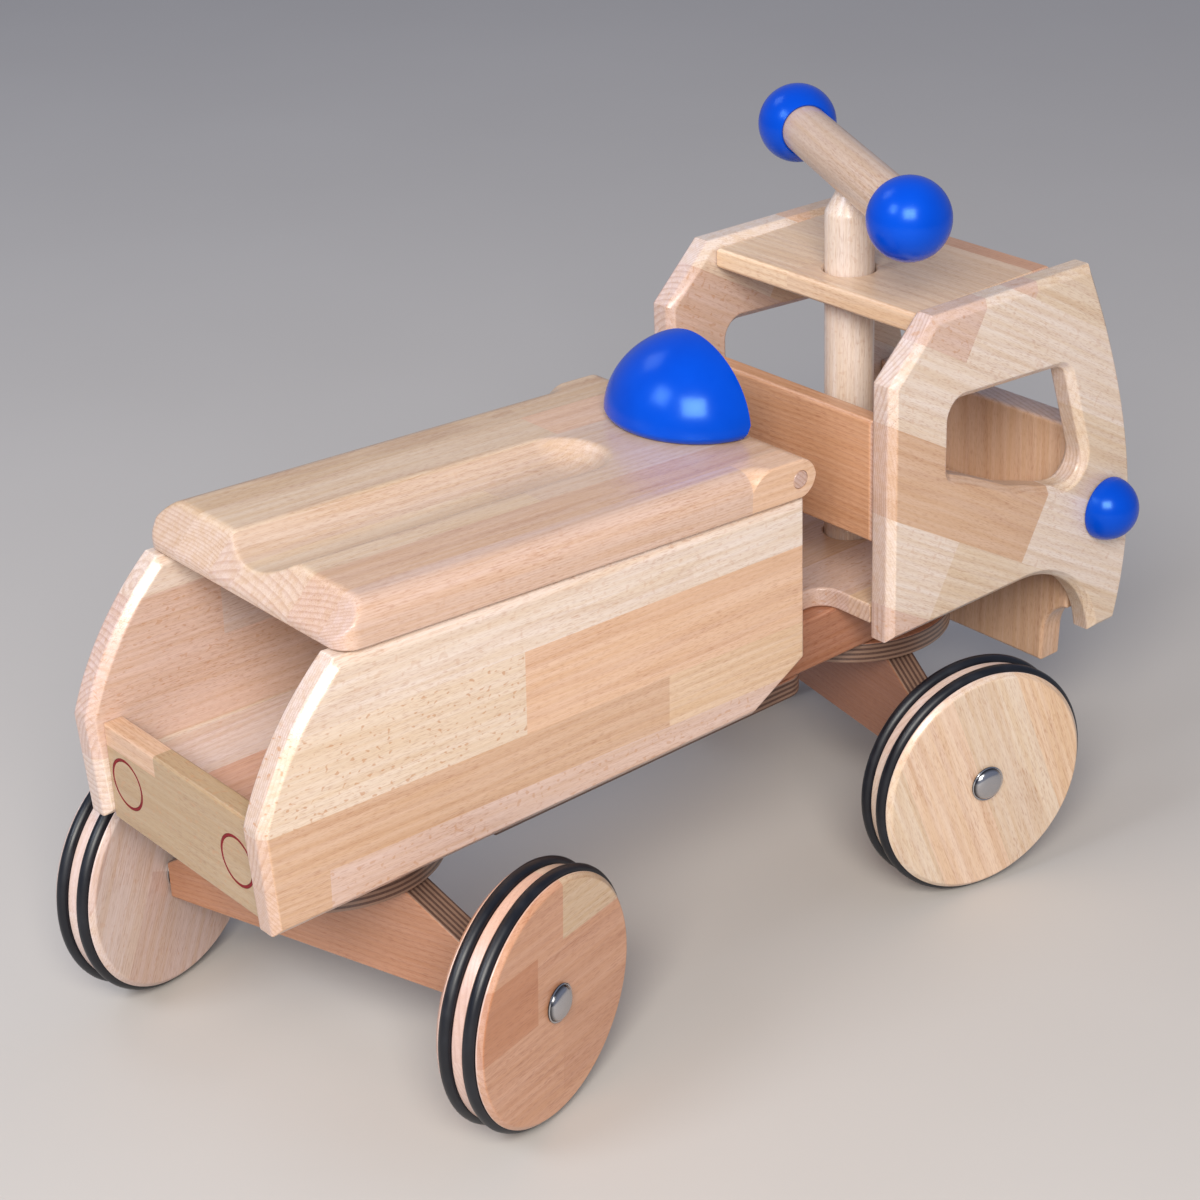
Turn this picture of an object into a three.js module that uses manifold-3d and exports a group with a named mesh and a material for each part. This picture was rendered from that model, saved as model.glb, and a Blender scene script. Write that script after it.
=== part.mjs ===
// A wooden ride-on truck, about 0.6 m long: a cab with a steering post, a box under a hinged seat lid,
// and two axles, each on a round turntable. Millimetres, +X to the truck's right, +Y forward, +Z up,
// with the wheels standing on z = 0. Along the truck, y = 0 is the rear turntable's centre until the
// last lines move the origin to the middle of the footprint.
import * as THREE from 'three';
import { mergeVertices } from 'three/addons/utils/BufferGeometryUtils.js';
import Module from 'manifold-3d';

const wasm = await Module();
wasm.setup();

// ---- driving dimensions ----
const GAP = 0.3; // left between pieces that touch
const PAST = 1; // how far a cutter reaches past the face it goes through
const BOARD = 18; // beech board of the sides, the walls and the axle blocks
const THIN = 12; // thin board of the floor, the roof, the tailboard, the rail and the turntables
const EDGE = 4; // chamfer round the side boards
const SOFT = 1.5; // small chamfer on the other boards

const TYRE_R = 69; // outside of the rubber rings
const WHEEL_R = 66;
const WHEEL_W = 28;
const RING_R = 3.5; // section radius of a rubber ring
const RING_OFFSET = 7; // of each ring from the middle of the wheel
const ROD_R = 4;
const TRACK = 274.6; // between the outer faces of two wheels
const ROUND = 28; // segments round a wheel

const FRONT_Y = 374; // from the rear turntable's centre to the front one's
const REAR_YAW = 16.6; // how far each axle is turned, in degrees
const FRONT_YAW = -11.1;
const HANDLE_YAW = -26.2;

const TURNTABLE_R = 60;
const PLANK_Z = 128; // underside of the chassis plank, which runs on the turntables
const PLANK_H = 32;
const PLANK_W = 100;

const BOX_W = 169; // outside of the box
const BOX_Z = 141; // lower edge of its sides
const LID_SLOPE = 0.0519; // the box sides and the lid fall towards the front
const BOX_TOP_FRONT = { y: 258.3, z: 255.7 };
const LID_T = 22;
const LID_CLEAR = 1.2; // between the lid and the box sides
const DOWEL_R = 5;
const LID_AXIS_Y = 253;

const CAB_W = 192;
const CAB_REAR = 309.2;
const CAB_Z = 155; // lower edge of its sides
const BOARD_Y = 480; // rear face of the cab's front board

const POST_R = 14; // the steering post and the handlebar are the same dowel
const BAR_Z = 389;
const BALL_R = 22.5;
const BALL_SPACING = 184;

// ---- what follows from them ----
const FLOOR_Z = PLANK_Z + PLANK_H + GAP;
const FLOOR_TOP = FLOOR_Z + THIN - GAP;
const BOX_IN = BOX_W / 2 - BOARD; // half the box's inside width
const CAB_IN = CAB_W / 2 - BOARD;
const TURNTABLE_Z = PLANK_Z - 2 * GAP - THIN;
const boxTop = (y) => BOX_TOP_FRONT.z + (BOX_TOP_FRONT.y - y) * LID_SLOPE;
const LID_AXIS_Z = boxTop(LID_AXIS_Y) + LID_CLEAR + LID_T / 2;
const radians = THREE.MathUtils.degToRad;

// ---- materials ----
const material = (color, roughness, metalness = 0) =>
  new THREE.MeshStandardMaterial({ color, roughness, metalness });
const BEECH = () => material(0xdcb98c, 0.55);
const PLYWOOD = () => material(0xb98a66, 0.6);
const BLUE = () => material(0x0046d8, 0.35);
const RUBBER = () => material(0x14151a, 0.5);
const STEEL = () => material(0xb9bcc0, 0.25, 1);
const DARK_RED = () => material(0x7a1620, 0.6);

// ---- helpers ----
const truck = new THREE.Group();

function add(parent, name, geometry, makeMaterial) {
  const mesh = new THREE.Mesh(geometry, makeMaterial());
  mesh.name = name;
  parent.add(mesh);
  return mesh;
}

function toSolid(geometry) {
  const bare = geometry.clone();
  bare.deleteAttribute('normal');
  bare.deleteAttribute('uv');
  const merged = mergeVertices(bare, 1e-4);
  const corners = Array.from(merged.index.array);
  const triangles = [];
  for (let i = 0; i < corners.length; i += 3) {
    const [a, b, c] = corners.slice(i, i + 3);
    if (a !== b && b !== c && c !== a) triangles.push(a, b, c);
  }
  return new wasm.Manifold(new wasm.Mesh({
    numProp: 3,
    vertProperties: new Float32Array(merged.attributes.position.array),
    triVerts: new Uint32Array(triangles),
  }));
}

function toGeometry(solid) {
  const mesh = solid.getMesh();
  const geometry = new THREE.BufferGeometry();
  geometry.setAttribute('position', new THREE.BufferAttribute(mesh.vertProperties, 3));
  geometry.setIndex(new THREE.BufferAttribute(mesh.triVerts, 1));
  return geometry;
}

// The first geometry with each of the others cut out of it.
function cut(geometry, ...tools) {
  return toGeometry(tools.reduce((solid, tool) => solid.subtract(toSolid(tool)), toSolid(geometry)));
}

function join(geometry, ...others) {
  return toGeometry(others.reduce((solid, other) => solid.add(toSolid(other)), toSolid(geometry)));
}

// A closed outline of points [u, v, radius]: a corner with a radius is rounded.
function outline(points) {
  const path = new THREE.Shape();
  const count = points.length;
  points.forEach(([u, v, radius = 0], i) => {
    const corner = new THREE.Vector2(u, v);
    const before = new THREE.Vector2(...points[(i + count - 1) % count]).sub(corner).normalize();
    const after = new THREE.Vector2(...points[(i + 1) % count]).sub(corner).normalize();
    const half = Math.acos(THREE.MathUtils.clamp(before.dot(after), -1, 1)) / 2;
    const reach = radius / Math.tan(half);
    const start = corner.clone().addScaledVector(before, reach);
    const end = corner.clone().addScaledVector(after, reach);
    if (i === 0) path.moveTo(start.x, start.y);
    else path.lineTo(start.x, start.y);
    if (radius > 0) {
      const centre = corner.clone().addScaledVector(before.clone().add(after).normalize(),
        radius / Math.sin(half));
      const from = start.clone().sub(centre).angle();
      const to = end.clone().sub(centre).angle();
      const turn = THREE.MathUtils.euclideanModulo(to - from, 2 * Math.PI);
      path.absarc(centre.x, centre.y, radius, from, to, turn > Math.PI);
    }
  });
  path.closePath();
  return path;
}

const rectangle = (u0, v0, u1, v1, radius = 0) =>
  outline([[u0, v0, radius], [u1, v0, radius], [u1, v1, radius], [u0, v1, radius]]);

// A board of an outline, from z = 0 up to its thickness, with chamfered edges.
function board(shape, thickness, chamfer = SOFT, segments = 3) {
  const geometry = new THREE.ExtrudeGeometry(shape, {
    depth: thickness - 2 * chamfer,
    bevelEnabled: chamfer > 0,
    bevelThickness: chamfer,
    bevelSize: chamfer,
    bevelOffset: -chamfer,
    bevelSegments: 1,
    curveSegments: segments,
  });
  return geometry.translate(0, 0, chamfer);
}

// Stands a flat board up: its outline is then in the truck's y-z plane and its thickness along +x.
const alongX = (geometry) => geometry.applyMatrix4(new THREE.Matrix4().set(
  0, 0, 1, 0,
  1, 0, 0, 0,
  0, 1, 0, 0,
  0, 0, 0, 1,
));

// Stands it up with its outline in the x-z plane and its thickness reaching back from y = front.
const alongY = (geometry, front) => geometry.rotateX(Math.PI / 2).translate(0, front, 0);

const cylinder = (radius, length, segments = 20) =>
  new THREE.CylinderGeometry(radius, radius, length, segments);
const uprightPin = (radius, z0, z1, segments = 20) =>
  cylinder(radius, z1 - z0, segments).rotateX(Math.PI / 2).translate(0, 0, (z0 + z1) / 2);
const crossPin = (radius, x0, x1, segments = 20) =>
  cylinder(radius, x1 - x0, segments).rotateZ(Math.PI / 2).translate((x0 + x1) / 2, 0, 0);

// A body turned about the x axis from points [radius, x].
const turned = (points, segments = ROUND) =>
  new THREE.LatheGeometry(points.map(([r, x]) => new THREE.Vector2(r, x)), segments)
    .rotateZ(-Math.PI / 2);

// A ring of rectangular section about the x axis.
const ring = (inner, outer, x0, x1, segments = 24) =>
  turned([[inner, x0], [outer, x0], [outer, x1], [inner, x1], [inner, x0]], segments);

// ---- chassis ----
const PLANK_REAR = -70;
const plank = alongX(board(rectangle(PLANK_REAR, PLANK_Z, BOARD_Y - GAP, PLANK_Z + PLANK_H), PLANK_W))
  .translate(-PLANK_W / 2, 0, 0);
const PIVOT_R = 5;
const PIVOT_HEAD = { r: 11, h: 6, clear: 1 }; // a round head and the room round it in its pocket
const pivotHole = uprightPin(PIVOT_R + GAP, PLANK_Z - PAST, FLOOR_Z);
const pivotPocket = uprightPin(
  PIVOT_HEAD.r + PIVOT_HEAD.clear, FLOOR_Z - GAP - PIVOT_HEAD.h - PIVOT_HEAD.clear, FLOOR_Z + PAST);
// The steering post's hole through a board from z0 to z1.
const postHole = (z0, z1) => uprightPin(POST_R + GAP, z0 - PAST, z1 + PAST).translate(0, FRONT_Y, 0);
add(truck, 'chassis_plank', cut(plank, pivotHole, pivotPocket, postHole(PLANK_Z, FLOOR_Z)), BEECH);

// A plate under the plank that starts clear of the rear turntable.
const KEEL = { y0: TURNTABLE_R + 8, y1: 293, radius: 14, chamfer: 1 };
const keel = board(outline([
  [-PLANK_W / 2, KEEL.y0], [PLANK_W / 2, KEEL.y0],
  [PLANK_W / 2, KEEL.y1, KEEL.radius], [-PLANK_W / 2, KEEL.y1, KEEL.radius],
]), THIN, KEEL.chamfer);
add(truck, 'keel_plate', keel.translate(0, 0, PLANK_Z - GAP - THIN), PLYWOOD);

// One floor board runs from the tailboard to the cab's front board, necked between box and cab.
const NECK_W = 82;
const NECK = { y0: BOX_TOP_FRONT.y, y1: CAB_REAR + 3, radius: 12 };
const TAIL_Y = -83.5; // rear face of the tailboard
const FLOOR = { corner: 4, chamfer: 1 };
const floorOutline = outline([
  [-BOX_IN + GAP, TAIL_Y + THIN + GAP], [BOX_IN - GAP, TAIL_Y + THIN + GAP],
  [BOX_IN - GAP, NECK.y0, FLOOR.corner], [NECK_W / 2, NECK.y0, FLOOR.corner],
  [NECK_W / 2, NECK.y1, NECK.radius], [CAB_IN - GAP, NECK.y1],
  [CAB_IN - GAP, BOARD_Y - GAP], [-CAB_IN + GAP, BOARD_Y - GAP],
  [-CAB_IN + GAP, NECK.y1], [-NECK_W / 2, NECK.y1, NECK.radius],
  [-NECK_W / 2, NECK.y0, FLOOR.corner], [-BOX_IN + GAP, NECK.y0, FLOOR.corner],
]);
const floorBoard = board(floorOutline, THIN - GAP, FLOOR.chamfer).translate(0, 0, FLOOR_Z);
add(truck, 'floor_board', cut(floorBoard, postHole(FLOOR_Z, FLOOR_TOP)), BEECH);

// ---- box ----
// The side's rear edge leans back to a kink and then curves forward to the lid.
const BOX_REAR = { foot: -88, kink: [-91, 198], bend: [-76, 240], top: -40 };
const BOX_CORNER = { y: 220, z: 162 }; // where the cut-off lower front corner starts and ends
const boxSide = new THREE.Shape();
boxSide.moveTo(BOX_REAR.foot, BOX_Z);
boxSide.lineTo(BOX_CORNER.y, BOX_Z);
boxSide.lineTo(BOX_TOP_FRONT.y, BOX_CORNER.z);
boxSide.lineTo(BOX_TOP_FRONT.y, BOX_TOP_FRONT.z);
boxSide.lineTo(BOX_REAR.top, boxTop(BOX_REAR.top));
boxSide.quadraticCurveTo(...BOX_REAR.bend, ...BOX_REAR.kink);
boxSide.closePath();
for (const [side, x0] of [['left', -BOX_W / 2], ['right', BOX_W / 2 - BOARD]]) {
  add(truck, `box_side_${side}`, alongX(board(boxSide, BOARD, EDGE, 6)).translate(x0, 0, 0), BEECH);
}

const TAIL_TOP = 195;
const RING_LAMP = { x: 49, z: (BOX_Z + TAIL_TOP) / 2 - 1, r: 14, width: 1.7, depth: 1 };
const tailboard = alongY(
  board(rectangle(-BOX_IN + GAP, BOX_Z, BOX_IN - GAP, TAIL_TOP), THIN), TAIL_Y + THIN);
const lampRing = (slack) => ring(
  RING_LAMP.r - RING_LAMP.width - slack, RING_LAMP.r + slack, 0, RING_LAMP.depth + 2 * slack)
  .rotateZ(Math.PI / 2);
const placeRing = (geometry, x, slack) =>
  geometry.translate(x, TAIL_Y - slack, RING_LAMP.z);
add(truck, 'tailboard', cut(
  tailboard,
  placeRing(lampRing(GAP), -RING_LAMP.x, GAP),
  placeRing(lampRing(GAP), RING_LAMP.x, GAP),
), BEECH);
for (const [side, sign] of [['left', -1], ['right', 1]]) {
  add(truck, `tail_ring_${side}`, placeRing(lampRing(0), sign * RING_LAMP.x, 0), DARK_RED);
}

// The box's front wall carries the lid on a tongue that stands in a notch of the lid.
const TONGUE = { width: 40, root: 5, radius: BOARD / 2 - 0.1 }; // its root reaches into the wall
const WALL_FRONT = LID_AXIS_Y + BOARD / 2;
const wallTop = LID_AXIS_Z - LID_T / 2 - 2;
const wall = alongY(
  board(rectangle(-BOX_IN + GAP, FLOOR_TOP + GAP, BOX_IN - GAP, wallTop), BOARD), WALL_FRONT);
const tongueSide = outline([
  [LID_AXIS_Y - BOARD / 2, wallTop - TONGUE.root], [LID_AXIS_Y + BOARD / 2, wallTop - TONGUE.root],
  [LID_AXIS_Y + BOARD / 2, LID_AXIS_Z + BOARD / 2, TONGUE.radius],
  [LID_AXIS_Y - BOARD / 2, LID_AXIS_Z + BOARD / 2, TONGUE.radius],
]);
const tongue = alongX(board(tongueSide, TONGUE.width, 0)).translate(-TONGUE.width / 2, 0, 0);
const dowelHole = crossPin(DOWEL_R + GAP, -BOX_W, BOX_W).translate(0, LID_AXIS_Y, LID_AXIS_Z);
add(truck, 'box_front_wall', cut(join(wall, tongue), dowelHole), BEECH);

// ---- seat lid ----
// Its long edges are rounded off, which stops short of the hinge, and its rear edge has a wide chamfer.
const LID = { rear: -38, round: 12, rearChamfer: 17, roundStop: 222 };
const lidUnder = (y) => boxTop(y) + LID_CLEAR;
const lidProfile = new THREE.Shape();
lidProfile.moveTo(LID.rear, lidUnder(LID.rear));
lidProfile.lineTo(LID_AXIS_Y, lidUnder(LID_AXIS_Y));
lidProfile.absarc(LID_AXIS_Y, LID_AXIS_Z, LID_T / 2, -Math.PI / 2, Math.PI / 2, false);
lidProfile.lineTo(LID.rear + LID.rearChamfer, lidUnder(LID.rear) + LID_T);
lidProfile.lineTo(LID.rear, lidUnder(LID.rear) + LID_T - LID.rearChamfer);
lidProfile.closePath();
const lidBlank = alongX(board(lidProfile, BOX_W, 0, 4)).translate(-BOX_W / 2, 0, 0);
// A cutter that rounds one long edge, up to a square end.
const ROUND_STEPS = 4;
const CLEAR = 2; // beyond the lid's top and side
function roundCutter(sign) {
  const edge = BOX_W / 2;
  const inner = edge - LID.round;
  const section = [[inner, CLEAR], [edge + CLEAR, CLEAR], [edge + CLEAR, -LID.round]];
  for (let i = ROUND_STEPS; i >= 0; i -= 1) {
    const angle = (i / ROUND_STEPS) * (Math.PI / 2);
    section.push([inner + LID.round * Math.sin(angle), LID.round * (Math.cos(angle) - 1)]);
  }
  const length = LID.roundStop - LID.rear + LID.rearChamfer;
  const bar = alongY(board(outline(section.map(([u, v]) => [sign * u, v])), length, 0), LID.roundStop);
  return bar.translate(0, -LID_AXIS_Y, 0).rotateX(-Math.atan(LID_SLOPE))
    .translate(0, LID_AXIS_Y, LID_AXIS_Z + LID_T / 2);
}
// The seat hollow is a shallow round-bottomed groove with a round front end.
const HOLLOW = { halfWidth: 26, depth: 9, front: 161 };
const hollowR = (HOLLOW.halfWidth ** 2 + HOLLOW.depth ** 2) / (2 * HOLLOW.depth);
const hollowLength = HOLLOW.front - LID.rear + LID.rearChamfer;
const hollow = join(
  cylinder(hollowR, hollowLength, 48).translate(0, -hollowLength / 2, 0),
  new THREE.SphereGeometry(hollowR, 48, 24),
).rotateX(-Math.atan(LID_SLOPE)).translate(
  0, HOLLOW.front, lidUnder(HOLLOW.front) + LID_T + hollowR - HOLLOW.depth);
const NOTCH = {
  width: TONGUE.width + 1, rear: LID_AXIS_Y - BOARD / 2 - 2, length: BOARD + 12, height: 3 * LID_T,
};
const notch = new THREE.BoxGeometry(NOTCH.width, NOTCH.length, NOTCH.height)
  .translate(0, NOTCH.rear + NOTCH.length / 2, LID_AXIS_Z);
add(truck, 'lid', cut(lidBlank, roundCutter(-1), roundCutter(1), hollow, notch, dowelHole), BEECH);
add(truck, 'lid_dowel',
  crossPin(DOWEL_R, -BOX_W / 2, BOX_W / 2).translate(0, LID_AXIS_Y, LID_AXIS_Z), BEECH);

// About a quarter of a turned ball, flat side forward, glued on the lid just behind the hinge. It is
// widest a little above the lid, and its flat side is chamfered at the foot.
const DOME = { y: 252.3, r: 48, depth: 44.5, h: 48, foot: 44.6, widest: 4, power: 2 / 1.86 };
const DOME_FOOT = { back: 4.5, up: 8 };
const domeProfile = [[0, 0], [DOME.foot, 0], [DOME.r - 1, DOME.widest / 2]];
const DOME_STEPS = 8;
for (let i = 0; i < DOME_STEPS; i += 1) {
  const angle = (i / DOME_STEPS) * (Math.PI / 2);
  domeProfile.push([
    DOME.r * Math.cos(angle) ** DOME.power,
    DOME.widest + (DOME.h - DOME.widest) * Math.sin(angle) ** DOME.power,
  ]);
}
domeProfile.push([0, DOME.h]);
const wholeDome = new THREE.LatheGeometry(domeProfile.map(([r, h]) => new THREE.Vector2(r, h)), 32)
  .rotateX(Math.PI / 2).scale(1, DOME.depth / DOME.r, 1);
const domeFoot = alongX(board(outline([
  [-DOME_FOOT.back, 0], [-DOME_FOOT.back, -PAST], [PAST, -PAST], [PAST, DOME_FOOT.up], [0, DOME_FOOT.up],
]), 2 * DOME.r, 0)).translate(-DOME.r, 0, 0);
const HALF_SPACE = 200; // a cube big enough to take half of the dome away
const frontHalf = new THREE.BoxGeometry(HALF_SPACE, HALF_SPACE, HALF_SPACE)
  .translate(0, HALF_SPACE / 2, 0);
add(truck, 'lid_dome', cut(wholeDome, frontHalf, domeFoot).rotateX(-Math.atan(LID_SLOPE))
  .translate(0, DOME.y, lidUnder(DOME.y) + LID_T + GAP), BLUE);

// ---- cab ----
const ARCH = { y: 420, z: 93, end: 0.13 }; // over the front wheel, round this centre
const NOSE = { foot: [503, 101], bends: [519, 150, 520, 222], top: [467, 333] };
const CAB_TOP = { rear: [342, 336], z: 305 }; // the cut-off upper rear corner starts at z
const cabSide = new THREE.Shape();
cabSide.moveTo(CAB_REAR, CAB_Z);
cabSide.lineTo(ARCH.y, CAB_Z);
cabSide.absarc(ARCH.y, ARCH.z, CAB_Z - ARCH.z, Math.PI / 2, ARCH.end, true);
cabSide.lineTo(...NOSE.foot);
cabSide.bezierCurveTo(...NOSE.bends, ...NOSE.top);
cabSide.lineTo(...CAB_TOP.rear);
cabSide.lineTo(CAB_REAR, CAB_TOP.z);
cabSide.closePath();
const cabWindow = outline([
  [355, 242, 5], [355, 284, 10], [449, 278, 10], [473, 203, 14], [445, 206], [405, 219], [372, 235],
].reverse());
cabSide.holes.push(cabWindow);
for (const [side, x0] of [['left', -CAB_W / 2], ['right', CAB_W / 2 - BOARD]]) {
  add(truck, `cab_side_${side}`, alongX(board(cabSide, BOARD, EDGE, 5)).translate(x0, 0, 0), BEECH);
}

const ROOF = { y0: 345, y1: 452, top: 332 };
const roof = board(rectangle(-CAB_IN + GAP, ROOF.y0, CAB_IN - GAP, ROOF.y1), THIN)
  .translate(0, 0, ROOF.top - THIN);
add(truck, 'cab_roof', cut(roof, postHole(ROOF.top - THIN, ROOF.top)), BEECH);

const RAIL = { y: 312, z0: 210, z1: 281 };
add(truck, 'cab_rear_rail', alongY(
  board(rectangle(-CAB_IN + GAP, RAIL.z0, CAB_IN - GAP, RAIL.z1), THIN), RAIL.y + THIN), BEECH);

// The front board ends below in an apron with a concave corner on each side.
const SILL = 226;
const APRON = { z: 68, half: 59.5, taper: 1, step: 87, arc: 23.5, arcEnd: 1.83 };
const frontShape = new THREE.Shape();
frontShape.moveTo(-APRON.half + APRON.taper, APRON.z);
frontShape.lineTo(APRON.half - APRON.taper, APRON.z);
frontShape.lineTo(APRON.half, APRON.step);
frontShape.absarc(APRON.half + APRON.arc, APRON.step, APRON.arc, Math.PI, APRON.arcEnd, true);
frontShape.lineTo(CAB_IN - GAP, SILL);
frontShape.lineTo(-CAB_IN + GAP, SILL);
frontShape.absarc(-APRON.half - APRON.arc, APRON.step, APRON.arc, Math.PI - APRON.arcEnd, 0, true);
frontShape.closePath();
add(truck, 'cab_front_board', alongY(board(frontShape, BOARD), BOARD_Y + BOARD), BEECH);

const LAMP = { y: 487.6, z: 180, r: 19, h: 19.5 };
const lampProfile = [[0, 0]];
const LAMP_STEPS = 6;
for (let i = 0; i < LAMP_STEPS; i += 1) {
  const angle = (i / LAMP_STEPS) * (Math.PI / 2);
  lampProfile.push([LAMP.r * Math.cos(angle), LAMP.h * Math.sin(angle)]);
}
lampProfile.push([0, LAMP.h]);
for (const [side, turn] of [['left', Math.PI], ['right', 0]]) {
  const lamp = turned(lampProfile, 24).translate(CAB_W / 2 + GAP, 0, 0).rotateZ(turn);
  add(truck, `lamp_${side}`, lamp.translate(0, LAMP.y, LAMP.z), BLUE);
}

// ---- axles ----
const halfTrack = TRACK / 2;
const wheelProfile = [];
const rim = 2.5; // chamfer at the wheel's rim
const flare = 1; // how much wider a groove is at its mouth, on each side
wheelProfile.push([ROD_R + GAP, -WHEEL_W / 2], [WHEEL_R - rim, -WHEEL_W / 2], [WHEEL_R, rim - WHEEL_W / 2]);
for (const x of [-RING_OFFSET, RING_OFFSET]) {
  const mouth = RING_R + GAP; // half the groove's width
  const bottom = TYRE_R - 2 * RING_R - GAP;
  wheelProfile.push([WHEEL_R, x - mouth], [bottom, x - mouth + flare]);
  wheelProfile.push([bottom, x + mouth - flare], [WHEEL_R, x + mouth]);
}
wheelProfile.push([WHEEL_R, WHEEL_W / 2 - rim], [WHEEL_R - rim, WHEEL_W / 2], [ROD_R + GAP, WHEEL_W / 2]);
wheelProfile.push(wheelProfile[0]);

const CAP = { r: 10.4, h: 5, rod: 3 }; // a push-on cap and how far the rod reaches into it
const ROD_END = halfTrack + CAP.rod;
const capProfile = [
  [0, CAP.rod + GAP], [ROD_R + GAP, CAP.rod + GAP], [ROD_R + GAP, GAP * 2], [CAP.r, GAP * 2],
  [CAP.r, CAP.h * 0.25], [CAP.r * 0.85, CAP.h * 0.58], [CAP.r * 0.5, CAP.h * 0.89], [0, CAP.h],
];

const BLOCK = { half: 107.8, z: 57, end: 78.2, topHalf: 49 };
const WASHER_R = 9;
const blockTop = TURNTABLE_Z - GAP;
const blockShape = outline([
  [-BLOCK.half, BLOCK.z], [BLOCK.half, BLOCK.z], [BLOCK.half, BLOCK.end],
  [BLOCK.topHalf, blockTop], [-BLOCK.topHalf, blockTop], [-BLOCK.half, BLOCK.end],
]);

function axle(name, y, yaw, turntableCut, blockCut) {
  const group = new THREE.Group();
  group.position.y = y;
  group.rotation.z = radians(yaw);
  truck.add(group);

  const disc = uprightPin(TURNTABLE_R, TURNTABLE_Z, TURNTABLE_Z + THIN, 48);
  add(group, `${name}_turntable`, cut(disc, turntableCut), PLYWOOD);

  const rodHole = crossPin(ROD_R + GAP, -BLOCK.half - PAST, BLOCK.half + PAST, 16).translate(0, 0, TYRE_R);
  const block = alongY(board(blockShape, BOARD), BOARD / 2);
  add(group, `${name}_axle_block`, cut(block, rodHole, ...blockCut), PLYWOOD);
  add(group, `${name}_axle_rod`,
    crossPin(ROD_R, -ROD_END, ROD_END, 16).translate(0, 0, TYRE_R), STEEL);

  for (const [side, turn] of [['left', Math.PI], ['right', 0]]) {
    const place = (geometry) => geometry.rotateZ(turn).translate(0, 0, TYRE_R);
    const middle = halfTrack - WHEEL_W / 2;
    const wheel = turned(wheelProfile.map(([r, x]) => [r, x + middle]));
    add(group, `${name}_wheel_${side}`, place(wheel), BEECH);
    for (const [end, offset] of [['inner', -RING_OFFSET], ['outer', RING_OFFSET]]) {
      const tyre = new THREE.TorusGeometry(TYRE_R - RING_R, RING_R, 6, ROUND).rotateY(Math.PI / 2);
      add(group, `${name}_tyre_${side}_${end}`, place(tyre.translate(middle + offset, 0, 0)), RUBBER);
    }
    add(group, `${name}_washer_${side}`, place(
      ring(ROD_R + GAP, WASHER_R, BLOCK.half + GAP, halfTrack - WHEEL_W - GAP, 16)), STEEL);
    const cap = turned(capProfile.map(([r, x]) => [r, x + halfTrack]), 16);
    add(group, `${name}_hub_cap_${side}`, place(cap), STEEL);
  }
  return group;
}

// ---- rear axle, on a bolt whose head is sunk in the chassis plank ----
const BOLT_TIP = TURNTABLE_Z - 26; // sunk this far in the axle block
const boltHole = uprightPin(PIVOT_R + GAP, BOLT_TIP - GAP, PLANK_Z);
const rear = axle('rear', 0, REAR_YAW, boltHole, [boltHole]);
const head = uprightPin(PIVOT_HEAD.r, FLOOR_Z - 2 * GAP - PIVOT_HEAD.h, FLOOR_Z - 2 * GAP);
const shank = uprightPin(PIVOT_R, BOLT_TIP, FLOOR_Z - PIVOT_HEAD.h);
add(rear, 'rear_pivot_bolt', join(head, shank), STEEL);

// ---- front axle with the steering post and its handlebar ----
const frontHole = uprightPin(POST_R + GAP, TURNTABLE_Z - PAST, TURNTABLE_Z + THIN + PAST);
const front = axle('front', FRONT_Y, FRONT_YAW, frontHole, []);

const steering = new THREE.Group();
steering.rotation.z = radians(HANDLE_YAW - FRONT_YAW);
front.add(steering);
// The post narrows at the top to a spigot that the bar's pin goes through.
const POST_TOP = BAR_Z - 7;
const POST_CHAMFER = { width: 6, height: 11 };
const postProfile = [
  [0, TURNTABLE_Z], [POST_R, TURNTABLE_Z], [POST_R, BAR_Z - POST_R + 1 - POST_CHAMFER.height],
  [POST_R - POST_CHAMFER.width, BAR_Z - POST_R + 1], [POST_R - POST_CHAMFER.width, POST_TOP], [0, POST_TOP],
];
const post = new THREE.LatheGeometry(postProfile.map(([r, z]) => new THREE.Vector2(r, z)), 24)
  .rotateX(Math.PI / 2);
const BAR_HALF = BALL_SPACING / 2 + 8; // its ends are sunk in the balls
const barBlank = crossPin(POST_R, -BAR_HALF, BAR_HALF).translate(0, 0, BAR_Z);
const barSpace = crossPin(POST_R + GAP, -BAR_HALF, BAR_HALF).translate(0, 0, BAR_Z);
const BAR_PIN = { r: 4, z0: BAR_Z - 34, z1: BAR_Z + 4 };
const pinSpace = uprightPin(BAR_PIN.r + GAP, BAR_PIN.z0 - GAP, BAR_PIN.z1 + GAP, 16);
add(steering, 'steering_post', cut(post, barSpace, pinSpace), BEECH);
add(steering, 'handlebar', cut(barBlank, pinSpace), BEECH);
add(steering, 'handlebar_pin', uprightPin(BAR_PIN.r, BAR_PIN.z0, BAR_PIN.z1, 16), BEECH);
for (const [side, sign] of [['left', -1], ['right', 1]]) {
  const ball = new THREE.SphereGeometry(BALL_R, 20, 12).rotateZ(Math.PI / 2)
    .translate(sign * BALL_SPACING / 2, 0, BAR_Z);
  const socket = crossPin(POST_R + GAP, -BAR_HALF - GAP, BAR_HALF + GAP).translate(0, 0, BAR_Z);
  add(steering, `handle_ball_${side}`, cut(ball, socket), BLUE);
}

// ---- origin: the middle of the footprint ----
const bounds = new THREE.Box3().setFromObject(truck, true);
truck.position.y = -(bounds.min.y + bounds.max.y) / 2;

export default truck;
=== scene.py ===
"""Looks for the wooden ride-on truck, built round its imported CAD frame."""
import math
import random
import bmesh
import bpy
import numpy as np
from mathutils import Matrix, Vector
from mathutils.geometry import tessellate_polygon


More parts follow.
